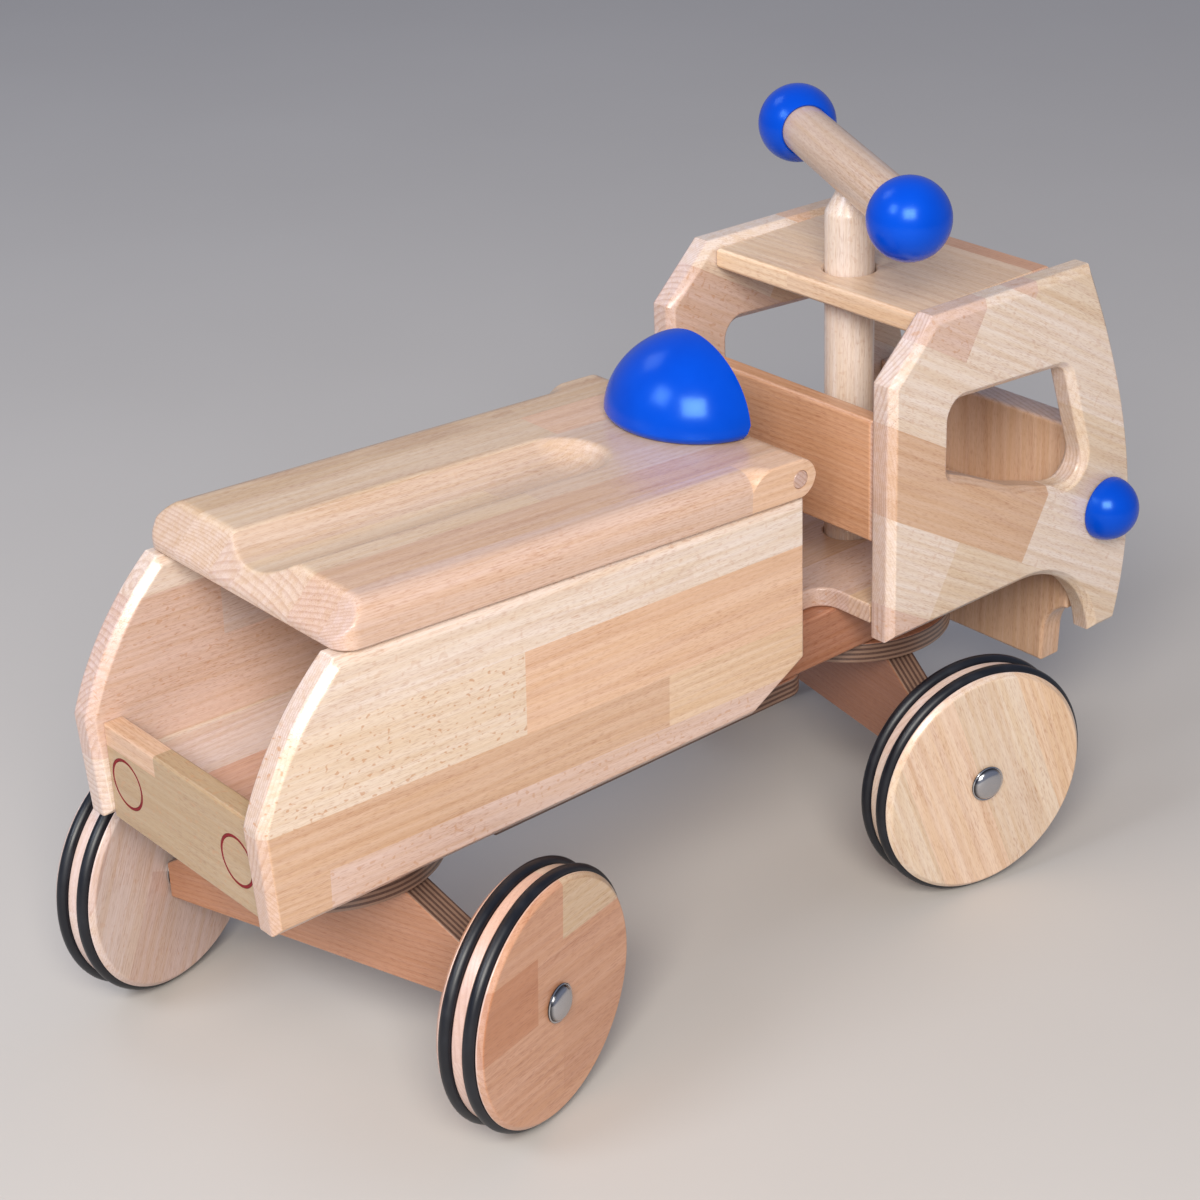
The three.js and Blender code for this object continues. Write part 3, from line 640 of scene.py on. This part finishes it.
NECK = 41
NECK_END = CAB_REAR + 3
NECK_CORNER = 12
FLOOR_CORNER = 4
FLOOR_STAVES = [(-100, TAN, 40, HONEY), (-68, LILAC_SKY_TINTED, 60, ROSE), (-24, DUSK, 90, TAN), (19, DUSK, 30, ROSE),
                (61, ROSE, 200, HONEY)]
floor_outline = outline([
    (-BOX_IN + GAP, TAIL_Y + THIN + GAP), (BOX_IN - GAP, TAIL_Y + THIN + GAP),
    (BOX_IN - GAP, BOX_TOP_FRONT_Y, FLOOR_CORNER), (NECK, BOX_TOP_FRONT_Y, FLOOR_CORNER),
    (NECK, NECK_END, NECK_CORNER), (CAB_IN - GAP, NECK_END),
    (CAB_IN - GAP, BOARD_Y - GAP), (-CAB_IN + GAP, BOARD_Y - GAP),
    (-CAB_IN + GAP, NECK_END), (-NECK, NECK_END, NECK_CORNER),
    (-NECK, BOX_TOP_FRONT_Y, FLOOR_CORNER), (-BOX_IN + GAP, BOX_TOP_FRONT_Y, FLOOR_CORNER),
])
piece("floor_board", board([floor_outline, circle(0, FRONT_Y, POST_R + GAP)], THIN - GAP, 1), "truck",
      "beech", beech("floor_wood", Y, X, FLOOR_STAVES, 5.2), at=(0, 0, FLOOR_Z))

# ---- box ----
SIDE_REAR = -88
SIDE_CUT = (220, 162)
HAUNCH = -40
side_outline = [(SIDE_REAR, BOX_Z), (SIDE_CUT[0], BOX_Z), (BOX_TOP_FRONT_Y, SIDE_CUT[1])]
side_outline += [(BOX_TOP_FRONT_Y, BOX_TOP_FRONT_Z)]
side_outline += bezier((HAUNCH, box_top(HAUNCH)), (-76, 240), (-91, 198))
SIDE_GRAIN = Vector((0, 1, -0.03))
SIDE_STAVES = {
    "left": [(120, CREAM, 90, HONEY), (172, ROSE, 120, PEACH), (217, ROSE, -15, LILAC_SKY_TINTED),
             (252, CREAM, 60, ROSE)],
    "right": [(120, TAN, -60, ROSE), (163.5, TAN, 153.5, HONEY), (192.8, SPECKLED, 60, PEACH),
              (237.5, CREAM, 170, CREAM)],
}
for side, x0 in (("left", -BOX_W / 2), ("right", BOX_W / 2 - BOARD)):
    wood = beech(f"box_side_wood_{side}", SIDE_GRAIN, X.cross(SIDE_GRAIN), SIDE_STAVES[side], x0 / 90)
    piece(f"box_side_{side}", along_x(board([side_outline], BOARD, EDGE, 2), x0), "truck", "beech", wood)

RING_X = 49
RING_OUT = 14
RING_IN = 12.3
RING_DEEP = 1
ring_z = (BOX_Z + TAIL_TOP) / 2 - 1
tail = along_y(board([rectangle(-BOX_IN + GAP, BOX_Z, BOX_IN - GAP, TAIL_TOP)], THIN, 1), TAIL_Y + THIN)
for side, x in (("left", -RING_X), ("right", RING_X)):
    place = Matrix.Translation((x, TAIL_Y, ring_z)) @ Matrix.Rotation(-math.pi / 2, 4, "X")
    inner, outer, floor = RING_IN - GAP / 3, RING_OUT + GAP / 3, RING_DEEP + GAP / 3
    groove = turned([(inner, -1), (outer, -1), (outer, floor), (inner, floor)], 64, closed=True)
    tail = carved(tail, moved(groove, place))
    inlay = rounded([(RING_IN, RING_DEEP), (RING_IN, 0.1), (RING_OUT, 0.1), (RING_OUT, RING_DEEP)], 0.25)
    piece(f"tail_ring_{side}", moved(turned(inlay, 64, closed=True), place), "truck", "dark_red",
          red_stain(f"ring_stain_{side}"), soften=0)
piece("tailboard", tail, "truck", "beech",
      beech("tailboard_wood", X, Z, [(120, OLIVE, 0, OLIVE), (183, TAN, -20, OLIVE)], 2.45), soften=0)

TONGUE = 20
wall_front = LID_AXIS_Y + BOARD / 2
wall_top = LID_AXIS_Z - LID_T / 2 - 2
wall_outline = rectangle(-BOX_IN + GAP, FLOOR_TOP + GAP, BOX_IN - GAP, wall_top)
wall = along_y(board([wall_outline], BOARD), wall_front)
tongue_outline = outline([
    (LID_AXIS_Y - BOARD / 2, wall_top - 5), (LID_AXIS_Y + BOARD / 2, wall_top - 5),
    (LID_AXIS_Y + BOARD / 2, LID_AXIS_Z + BOARD / 2, BOARD / 2 - 0.1),
    (LID_AXIS_Y - BOARD / 2, LID_AXIS_Z + BOARD / 2, BOARD / 2 - 0.1),
])
tongue = along_x(board([tongue_outline], 2 * TONGUE, 0.8), -TONGUE)
piece("box_front_wall", carved(wall, tongue, "UNION"), "truck", "beech",
      beech("front_wall_wood", X, Z, random_staves(160, 280, (-80, 80), 4), 4.4), soften=0)

# ---- seat lid ----
LID_REAR = -38
ROUND = 12
ROUND_STOP = 218
BIT = 6
REAR_CHAMFER = 17
HOLLOW_HALF = 26
HOLLOW_DEPTH = 9
HOLLOW_FRONT = 161
HOLLOW_R = (HOLLOW_HALF ** 2 + HOLLOW_DEPTH ** 2) / (2 * HOLLOW_DEPTH)
CORNER = 12
NOTCH = (TONGUE + 0.5, LID_AXIS_Y - BOARD / 2 - 2)


def lid_under(y):
    return box_top(y) + LID_CLEAR


def blended(a, b, reach):
    """The lower of two heights, with the arris between them rounded."""
    return min(a, b) - max(reach - abs(a - b), 0) ** 2 / (4 * reach)


def arris(distance, radius):
    """How far a rounded arris of that radius has fallen at a distance from its edge."""
    distance = max(distance, 0)
    if distance >= radius:
        return 0
    return radius - math.sqrt(radius ** 2 - (radius - distance) ** 2)


def lid_heights(x, y, rim):
    """Bottom and top of the lid at a point, above the plane it lies on; rim is the way to its edge."""
    half = BOX_W / 2
    if y > LID_AXIS_Y:
        reach = math.sqrt(max((LID_T / 2) ** 2 - (y - LID_AXIS_Y) ** 2, 0))
        side = arris(half - abs(x), 1.2) if reach > 2 else 0
        return LID_T / 2 - reach + side, LID_T / 2 + reach - side
    # the long edges are rounded by a router bit, which leaves a round end where it stops
    past = max(y - ROUND_STOP, 0)
    side = LID_T - arris(math.hypot(half + BIT - abs(x), past) - BIT, ROUND)
    bevel = LID_T - REAR_CHAMFER + (y - LID_REAR)
    top = blended(side, bevel, 3)
    ahead = max(y - HOLLOW_FRONT, 0)
    under_ball = HOLLOW_R ** 2 - x ** 2 - ahead ** 2
    if under_ball > 0:
        top = blended(top, LID_T - HOLLOW_DEPTH + HOLLOW_R - math.sqrt(under_ball), 1.5)
    crisp = max(min((side - bevel) / 4, 1), min((math.hypot(BIT, past) - BIT) / ROUND, 1), 0)
    return arris(rim, 1.5), top - crisp * arris(rim, 1.3)


def lid_mesh():
    """The lid as two height fields, its top and its underside, joined round the rim."""
    near_edge = [0, 0.1, 0.3, 0.6, 1, 1.5, 2.2, 3, 4, 5, 6, 7, 8, 9, 10, 11, 12, 13, 14, 15.5, 17, 18.5]
    half = BOX_W / 2
    xs = [half - e for e in near_edge] + list(np.arange(64, 30, -2.5)) + list(np.arange(30, NOTCH[0], -1))
    xs += [NOTCH[0]] + list(np.arange(19, 0, -1.5)) + [0]
    xs = sorted({round(s * x, 3) for x in xs for s in (-1, 1)})
    ys = [LID_REAR + e for e in near_edge] + list(np.arange(-18, 138, 3)) + list(np.arange(138, 198, 1.2))
    ys += list(np.arange(200, ROUND_STOP, 3)) + list(np.arange(ROUND_STOP, ROUND_STOP + 18, 0.8))
    ys += [238, NOTCH[1], 245, 248, 251]
    ys += [LID_AXIS_Y + LID_T / 2 * math.sin(a) for a in np.linspace(0, math.pi / 2, 15)]
    ys = sorted({round(y, 3) for y in ys})
    bm = bmesh.new()
    low, high = {}, {}
    for i, x in enumerate(xs):
        for j, y in enumerate(ys):
            px, py = x, y
            in_x, in_y = abs(x) - (half - CORNER), LID_REAR + CORNER - y
            if in_x > 0 and in_y > 0:  # the two rear corners are rounded in plan
                pull = max(in_x, in_y) / math.hypot(in_x, in_y)
                px = math.copysign(half - CORNER + in_x * pull, x)
                py = LID_REAR + CORNER - in_y * pull
            bottom, top = lid_heights(px, py, min(half - abs(x), y - LID_REAR))
            base = lid_under(min(py, LID_AXIS_Y))
            low[i, j] = bm.verts.new((px, py, base + bottom))
            high[i, j] = bm.verts.new((px, py, base + top))

    def solid(i, j):
        if not (0 <= i < len(xs) - 1 and 0 <= j < len(ys) - 1):
            return False
        return not (abs(xs[i] + xs[i + 1]) / 2 < NOTCH[0] and ys[j] + 0.01 > NOTCH[1])

    for i in range(len(xs) - 1):
        for j in range(len(ys) - 1):
            if not solid(i, j):
                continue
            cell = ((i, j), (i + 1, j), (i + 1, j + 1), (i, j + 1))
            bm.faces.new([high[c] for c in cell])
            bm.faces.new([low[c] for c in reversed(cell)])
            beyond = ((i, j - 1), (i + 1, j), (i, j + 1), (i - 1, j))
            for a, b, neighbour in zip(cell, cell[1:] + cell[:1], beyond):
                if not solid(*neighbour):
                    bm.faces.new((low[a], low[b], high[b], high[a]))
    return bm


LID_STAVES = [
    (-100, BISCUIT, 170, BISCUIT), (-56, STRAW, 166, PEACH), (-25, SAND, 160, SAND), (-6, STRAW, 101, SAND),
    (41, TAN, 140, TAN), (66, APRICOT, 205, PEACH),
]
lid_wood = beech("lid_wood", Vector((0, 1, -LID_SLOPE)), X, LID_STAVES, 7.35)
ONTO_X = Matrix.Rotation(math.pi / 2, 4, "Y")
LID_AXIS = Matrix.Translation((0, LID_AXIS_Y, LID_AXIS_Z)) @ ONTO_X
bore = turned([(0, -BOX_W), (DOWEL_R + GAP / 2, -BOX_W), (DOWEL_R + GAP / 2, BOX_W), (0, BOX_W)], 48)
piece("lid", carved(lid_mesh(), moved(bore, LID_AXIS)), "seat_lid", "beech", lid_wood, soften=0)
dowel_end = 0.5
dowel = turned([(0, -BOX_W / 2), (DOWEL_R - dowel_end, -BOX_W / 2), (DOWEL_R, -BOX_W / 2 + dowel_end),
                (DOWEL_R, BOX_W / 2 - dowel_end), (DOWEL_R - dowel_end, BOX_W / 2), (0, BOX_W / 2)], 48)
piece("lid_dowel", moved(dowel, ONTO_X), "seat_lid", "beech",
      beech("lid_dowel_wood", X, Y, one_piece(DUSK), 8.1),
      at=(0, LID_AXIS_Y, LID_AXIS_Z), soften=0)

# about a quarter of a turned ball, widest a little above the lid, its flat side forward
DOME = {"y": 252.3, "r": 48, "depth": 44.5, "h": 48, "foot": 44.6, "widest": 4, "power": 2 / 1.86}
DOME_FOOT = {"back": 4.5, "up": 8}
dome_foot = bezier((DOME["foot"], 0), (DOME["r"] - 1, 1.2), (DOME["r"], DOME["widest"]), steps=8)
dome_profile = [(0, 0)] + dome_foot[:-1]
for angle in np.linspace(0, math.pi / 2, 41)[:-1]:
    dome_profile.append((DOME["r"] * math.cos(angle) ** DOME["power"],
                         DOME["widest"] + (DOME["h"] - DOME["widest"]) * math.sin(angle) ** DOME["power"]))
dome_profile.append((0, DOME["h"]))
dome = moved(turned(dome_profile, 128), Matrix.Diagonal((1, DOME["depth"] / DOME["r"], 1, 1)))
for edge, way in (
    ((0, 0, 0), (0, 1, 0)),
    ((0, 0, DOME_FOOT["up"]), (0, DOME_FOOT["up"], -DOME_FOOT["back"])),
):
    bmesh.ops.bisect_plane(dome, geom=dome.verts[:] + dome.edges[:] + dome.faces[:], plane_co=edge,
                           plane_no=way, clear_outer=True)
    bmesh.ops.holes_fill(dome, edges=[e for e in dome.edges if e.is_boundary])
moved(dome, Matrix.Translation((0, DOME["y"], lid_under(DOME["y"]) + LID_T + GAP))
      @ Matrix.Rotation(-math.atan(LID_SLOPE), 4, "X"))
piece("lid_dome", dome, "seat_lid", "blue_paint", blue_paint("dome_paint", 0.3), soften=1.2, crease=40)

# ---- cab ----
ARCH = (420, 93)
CHIN = (503, 101)
BROW = (467, 333)
arch_r = CAB_Z - ARCH[1]
cab_outline = [(CAB_REAR, CAB_Z)] + arc(*ARCH, arch_r, math.pi / 2, 0.13, 24) + [CHIN]
cab_outline += bezier(CHIN, (519, 150), (520, 222), BROW)[1:] + [(342, 336), (CAB_REAR, 305)]
window = outline([
    (355, 242, 5), (355, 284, 10), (449, 278, 10), (473, 203, 14), (445, 206), (405, 219), (372, 235),
])
CAB_FALL = math.radians(30)
CAB_GRAIN = Vector((0, math.cos(CAB_FALL), -math.sin(CAB_FALL)))
CAB_STAVES = {
    "left": [(215, HONEY, 200, CREAM), (261, CREAM, 330, TAN), (307, ROSE, 240, PEACH),
             (353, HONEY, 190, CREAM), (399, ROSE, 290, CREAM), (445, CREAM, 190, HONEY),
             (491, PEACH, 200, HONEY)],
    "right": [(215, PEACH, 330, CREAM), (261, ROSE, 300, WHEAT), (307, CREAM, 215, WHEAT),
              (353, TAN, 276, CREAM), (399, CREAM, 250, WHEAT), (445, ROSE, 164, CREAM),
              (491, ROSE, 200, WHEAT)],
}
for side, x0 in (("left", -CAB_W / 2), ("right", CAB_W / 2 - BOARD)):
    piece(f"cab_side_{side}", along_x(board([cab_outline, window], BOARD, EDGE, 2), x0), "truck", "beech",
          beech(f"cab_side_wood_{side}", CAB_GRAIN, X.cross(CAB_GRAIN), CAB_STAVES[side], x0 / 70))

ROOF = {"rear": 345, "front": 452, "top": 332}
ROOF_STAVES = [(300, GOLD, -20, HONEY), (386, GOLD, 10, HONEY), (438, GINGER, 0, GINGER)]
roof_outline = rectangle(-CAB_IN + GAP, ROOF["rear"], CAB_IN - GAP, ROOF["front"])
piece("cab_roof", board([roof_outline, circle(0, FRONT_Y, POST_R + GAP)], THIN), "truck", "beech",
      beech("roof_wood", X, Y, ROOF_STAVES, 1.9), at=(0, 0, ROOF["top"] - THIN))
RAIL = {"rear": 312, "bottom": 210, "top": 281}
rail_outline = rectangle(-CAB_IN + GAP, RAIL["bottom"], CAB_IN - GAP, RAIL["top"])
rail = along_y(board([rail_outline], THIN), RAIL["rear"] + THIN)
piece("cab_rear_rail", rail, "truck", "beech", beech("rail_wood", X, Z, one_piece(GINGER, 20), 2.2))

SILL = 226
APRON = {"z": 68, "half": 59.5, "step": 87, "arc": 23.5}
ARC_END = 1.83
corner_u = APRON["half"] + APRON["arc"]
front_outline = [(-APRON["half"] + 1, APRON["z"]), (APRON["half"] - 1, APRON["z"])]
front_outline += arc(corner_u, APRON["step"], APRON["arc"], math.pi, ARC_END, 16)
front_outline += [(CAB_IN - GAP, SILL), (-CAB_IN + GAP, SILL)]
front_outline += arc(-corner_u, APRON["step"], APRON["arc"], math.pi - ARC_END, 0, 16)
piece("cab_front_board", along_y(board([front_outline], BOARD), BOARD_Y + BOARD), "truck", "beech",
      beech("front_board_wood", Z, X, one_piece(TAN, 100), 3.3))

LAMP = {"y": 487.6, "z": 180, "r": 19, "h": 19.5}
lamp_profile = [(0, 0), (LAMP["r"] - 1.2, 0), (LAMP["r"] - 0.3, 0.5)]
lamp_profile += [(LAMP["r"] * math.cos(a), LAMP["h"] * math.sin(a))
                 for a in np.linspace(0.08, math.pi / 2, 25)[:-1]]
lamp_profile.append((0, LAMP["h"]))
for side, turn in (("left", math.pi), ("right", 0)):
    lamp = moved(turned(lamp_profile, 72), Matrix.Rotation(turn, 4, "Z")
                 @ Matrix.Translation((CAB_W / 2 + GAP, 0, 0)) @ ONTO_X)
    piece(f"lamp_{side}", lamp, "truck", "blue_paint", blue_paint(f"lamp_paint_{side}", turn),
          at=(0, LAMP["y"], LAMP["z"]), soften=0)

# ---- axles ----
HALF_TRACK = TRACK / 2
RIM = 2.5
ROD_R = 4
BLOCK = {"half": 107.8, "z": 57, "end": 78.2, "top_half": 49}
WASHER_R = 9
BOLT_R = 5
CAP = {"r": 10.4, "h": 5}

wheel_profile = [(ROD_R + GAP, -WHEEL_W / 2), (WHEEL_R - RIM, -WHEEL_W / 2), (WHEEL_R, RIM - WHEEL_W / 2)]
mouth, bottom = RING_R + GAP, TYRE_R - 2 * RING_R - GAP
for x in (-RING_OFFSET, RING_OFFSET):
    wheel_profile += [(WHEEL_R, x - mouth), (bottom, x - mouth + 1),
                      (bottom, x + mouth - 1), (WHEEL_R, x + mouth)]
wheel_profile += [(WHEEL_R, WHEEL_W / 2 - RIM), (WHEEL_R - RIM, WHEEL_W / 2), (ROD_R + GAP, WHEEL_W / 2)]
wheel_profile = rounded(wheel_profile, 0.8)
tyre_profile = [(TYRE_R - RING_R + RING_R * math.cos(a), RING_R * math.sin(a))
                for a in np.arange(20) * math.pi / 10]
cap_profile = [(0, 0.6), (CAP["r"] - 0.4, 0.6), (CAP["r"], 1.0), (CAP["r"], 1.5), (CAP["r"] - 0.5, 1.9)]
cap_profile += bezier((CAP["r"] - 1.0, 1.7), (CAP["r"] * 0.78, CAP["h"] - 0.5), (CAP["r"] * 0.4, CAP["h"]),
                      (0, CAP["h"]), steps=14)
washer_near, washer_far = BLOCK["half"] + GAP, HALF_TRACK - WHEEL_W - GAP
washer_profile = rounded([(ROD_R + GAP, washer_near), (WASHER_R, washer_near),
                          (WASHER_R, washer_far), (ROD_R + GAP, washer_far)], 0.2)
block_outline = outline([
    (-BLOCK["half"], BLOCK["z"]), (BLOCK["half"], BLOCK["z"]), (BLOCK["half"], BLOCK["end"]),
    (BLOCK["top_half"], TURNTABLE_Z - GAP), (-BLOCK["top_half"], TURNTABLE_Z - GAP),
    (-BLOCK["half"], BLOCK["end"]),
])
# each wheel's grain direction in degrees and its staves, both in its own upright frame
WHEELS = {
    "rear_left_wheel": (62, [(-100, MAUVE_SKY_TINTED, 0, MAUVE_SKY_TINTED), (10, MAUVE_SKY_TINTED, 60, LILAC_SKY_TINTED), (52, MAUVE_SKY_TINTED, 0, LILAC_SKY_TINTED),
                             (92, MAUVE_SKY_TINTED, 0, MAUVE_SKY_TINTED)]),
    "rear_right_wheel": (-4, [(-20, RUST, 0, RUST), (64, AMBER, -22, RUST), (101.8, RUST, 0, BISCUIT)]),
    "front_left_wheel": (35, [(-50, HONEY, 0, HONEY), (20, CREAM, 30, ROSE), (60, TAN, 20, HONEY),
                              (99, CREAM, 0, CREAM)]),
    "front_right_wheel": (-70, [(-60, WHEAT, 0, WHEAT), (-21, PALE_HONEY, 0, PALE_HONEY),
                                (21, WHEAT, 0, WHEAT), (62, HONEY, 0, HONEY)]),
}
# the front block's veneer is painted shade, a darker copy of the rear block's tone
for end, y, yaw, body, bore, seed, veneer in (
    ("rear", 0, REAR_YAW, "rear_axle", BOLT_R + GAP, 1.0, MAHOGANY),
    ("front", FRONT_Y, FRONT_YAW, "steering", POST_R + GAP, 2.0, MAHOGANY_IN_SHADE),
):
    put = {"at": (0, y, 0), "yaw": yaw}
    disc_profile = [(bore, TURNTABLE_Z), (TURNTABLE_R, TURNTABLE_Z),
                    (TURNTABLE_R, TURNTABLE_Z + THIN), (bore, TURNTABLE_Z + THIN)]
    disc = turned(rounded(disc_profile, 1), 128, closed=True)
    piece(f"{end}_turntable", disc, body, "plywood",
          plywood(f"{end}_turntable_wood", X, Z, seed + 0.4, start=2), soften=0, **put)
    block = along_y(board([block_outline], BOARD, 0.8), BOARD / 2)
    piece(f"{end}_axle_block", block, body, "plywood",
          plywood(f"{end}_block_wood", X, Y, seed + 0.7, veneer, 40), soften=0, **put)
    for side, turn in (("left", math.pi), ("right", 0)):
        outward = Matrix.Translation((0, 0, TYRE_R)) @ Matrix.Rotation(turn, 4, "Z") @ ONTO_X
        middle = Matrix.Translation((0, 0, HALF_TRACK - WHEEL_W / 2))
        spin = f"{end}_{side}_wheel"
        tilt, staves = WHEELS[spin]
        along = Vector((0, math.cos(math.radians(tilt)), math.sin(math.radians(tilt))))
        wheel = moved(turned(wheel_profile, 128, closed=True), outward @ middle)
        piece(f"{end}_wheel_{side}", wheel, spin, "beech",
              wheel_wood(f"{end}_wheel_wood_{side}", along, staves, seed * 1.7 + turn),
              soften=0, **put)
        for row, offset in (("inner", -RING_OFFSET), ("outer", RING_OFFSET)):
            tyre = moved(turned(tyre_profile, 128, closed=True),
                         outward @ middle @ Matrix.Translation((0, 0, offset)))
            piece(f"{end}_tyre_{side}_{row}", tyre, spin, "rubber", rubber(f"{end}_rubber_{side}_{row}"),
                  soften=0, **put)
        washer = moved(turned(washer_profile, 48, closed=True), outward)
        piece(f"{end}_washer_{side}", washer, body, "steel", steel(f"{end}_washer_steel_{side}", 0.3),
              soften=0, **put)
        # the hub caps get a painted dark reflection round their steep edge
        cap = moved(turned(cap_profile, 64), outward @ Matrix.Translation((0, 0, HALF_TRACK)))
        piece(f"{end}_hub_cap_{side}", cap, body, "polished_steel",
              steel(f"{end}_cap_steel_{side}", 0.13, (0.52, 0.52, 0.54), 0.9), soften=0, **put)
    rod_end = HALF_TRACK + 0.4
    rod = turned([(0, -rod_end), (ROD_R, -rod_end), (ROD_R, rod_end), (0, rod_end)], 40)
    piece(f"{end}_axle_rod", moved(rod, Matrix.Translation((0, 0, TYRE_R)) @ ONTO_X), body, "steel",
          steel(f"{end}_rod_steel", 0.28), soften=0, **put)

# ---- steering post and handlebar ----
put = {"at": (0, FRONT_Y, 0), "yaw": HANDLE_YAW}
POST_TOP = BAR_Z - 7
BAR_HALF = BALL_SPACING / 2 + 8
SADDLE = 40
post = turned(rounded([
    (0, TURNTABLE_Z), (POST_R, TURNTABLE_Z), (POST_R, BAR_Z - POST_R - 10),
    (POST_R - 6, BAR_Z - POST_R + 1), (POST_R - 6, POST_TOP), (0, POST_TOP)], 1.5), 64)
saddle = turned([(0, -SADDLE), (POST_R + GAP / 3, -SADDLE), (POST_R + GAP / 3, SADDLE), (0, SADDLE)], 64)
post = carved(post, moved(saddle, Matrix.Translation((0, 0, BAR_Z)) @ ONTO_X))
piece("steering_post", post, "steering", "beech", beech("post_wood", Z, X, one_piece(CREAM), 4.7),
      soften=0, **put)
bar = turned(rounded([(0, -BAR_HALF), (POST_R, -BAR_HALF), (POST_R, BAR_HALF), (0, BAR_HALF)], 1), 64)
piece("handlebar", moved(bar, Matrix.Translation((0, 0, BAR_Z)) @ ONTO_X), "steering", "beech",
      beech("bar_wood", X, Y, one_piece(SAND), 5.5), soften=0, **put)
BORE = POST_R + 0.15
BORE_END = 8.2
lip = math.acos(-math.sqrt(1 - ((BORE + 0.9) / BALL_R) ** 2))
ball_profile = [(0, BORE_END), (BORE, BORE_END), (BORE, BALL_R * math.cos(lip) + 0.6)]
ball_profile += [(BALL_R * math.sin(a), BALL_R * math.cos(a)) for a in np.linspace(lip, 0, 40)[:-1]]
ball_profile.append((0, BALL_R))
for side, turn in (("left", math.pi), ("right", 0)):
    ball = moved(turned(ball_profile, 96), Matrix.Translation((0, 0, BAR_Z)) @ Matrix.Rotation(turn, 4, "Z")
                 @ Matrix.Translation((BALL_SPACING / 2, 0, 0)) @ ONTO_X)
    piece(f"handle_ball_{side}", ball, "steering", "blue_paint", blue_paint(f"ball_paint_{side}", 1 + turn),
          soften=0, **put)

# two pieces that nothing shows of keep their CAD shape
for node, material in (("rear_pivot_bolt", steel("bolt_steel", 0.3)),
                       ("handlebar_pin", beech("pin_wood", Z, X, one_piece(HONEY), 6.6))):
    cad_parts[node].data.materials.clear()
    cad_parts[node].data.materials.append(material)

# ---- stage, camera and light ----
GROUND_SIZE = 14
GROUND = ((0.52, 0.485, 0.45, 1), (0.56, 0.525, 0.49, 1))
bpy.ops.mesh.primitive_plane_add(size=GROUND_SIZE)
ground = bpy.context.object
ground.name = "ground"
n = Nodes("ground_paint")
mottle = n.noise(n.node("ShaderNodeTexCoord").outputs["Object"], 3, 3)
ground.data.materials.append(n.finish(n.mix(mottle, *GROUND), 0.75))


def direction(azimuth, elevation):
    """The way from the object to a viewer or a lamp. Azimuth 0 is behind the truck, 90 its right side."""
    a, e = math.radians(azimuth), math.radians(elevation)
    return Vector((math.sin(a) * math.cos(e), -math.cos(a) * math.cos(e), math.sin(e)))


CAMERA_AZIMUTH = 50.488
CAMERA_ELEVATION = 26.545
CAMERA_ROLL = math.radians(-2.338)
CAMERA_PLACE = (0.98613, -0.62825 + SHIFT, 0.83097)
CAMERA_LENS = 79.77
LIGHT_AIM = Vector((0, 0, 0.2))
SKY = (0.70, 0.77, 1.0, 1)
SKY_STRENGTH = 0.36
back = direction(CAMERA_AZIMUTH, CAMERA_ELEVATION)
level = direction(CAMERA_AZIMUTH + 90, 0)
upward = back.cross(level)
right = level * math.cos(CAMERA_ROLL) + upward * math.sin(CAMERA_ROLL)
upward = upward * math.cos(CAMERA_ROLL) - level * math.sin(CAMERA_ROLL)
camera = bpy.data.objects.new("camera", bpy.data.cameras.new("camera"))
bpy.context.scene.collection.objects.link(camera)
camera.data.sensor_width = 36
camera.data.lens = CAMERA_LENS
turn = Matrix((right, upward, back)).transposed().to_4x4()
camera.matrix_world = Matrix.Translation(CAMERA_PLACE) @ turn
bpy.context.scene.camera = camera


def lamp_light(name, azimuth, elevation, distance, size, power, color):
    """An area light that looks at the truck from a way off."""
    data = bpy.data.lights.new(name, "AREA")
    data.shape = "RECTANGLE"
    data.size, data.size_y = size
    data.energy = power
    data.color = color
    light = bpy.data.objects.new(name, data)
    bpy.context.scene.collection.objects.link(light)
    way = direction(azimuth, elevation)
    light.location = way * distance + LIGHT_AIM
    light.rotation_mode = "QUATERNION"
    light.rotation_quaternion = way.to_track_quat("Z", "Y")


lamp_light("key", 48, 35, 2.6, (1.4, 1.1), 80, (1.0, 0.955, 0.88))
lamp_light("window_behind", 352, 40, 2.8, (0.9, 0.9), 24, (0.82, 0.89, 1.0))
lamp_light("window_left", 285, 48, 2.8, (0.9, 0.9), 6, (0.8, 0.88, 1.0))
world = bpy.data.worlds.new("world")
world.use_nodes = True
world.node_tree.nodes["Background"].inputs[0].default_value = SKY
world.node_tree.nodes["Background"].inputs[1].default_value = SKY_STRENGTH
bpy.context.scene.world = world
bpy.context.scene.view_settings.view_transform = "Standard"
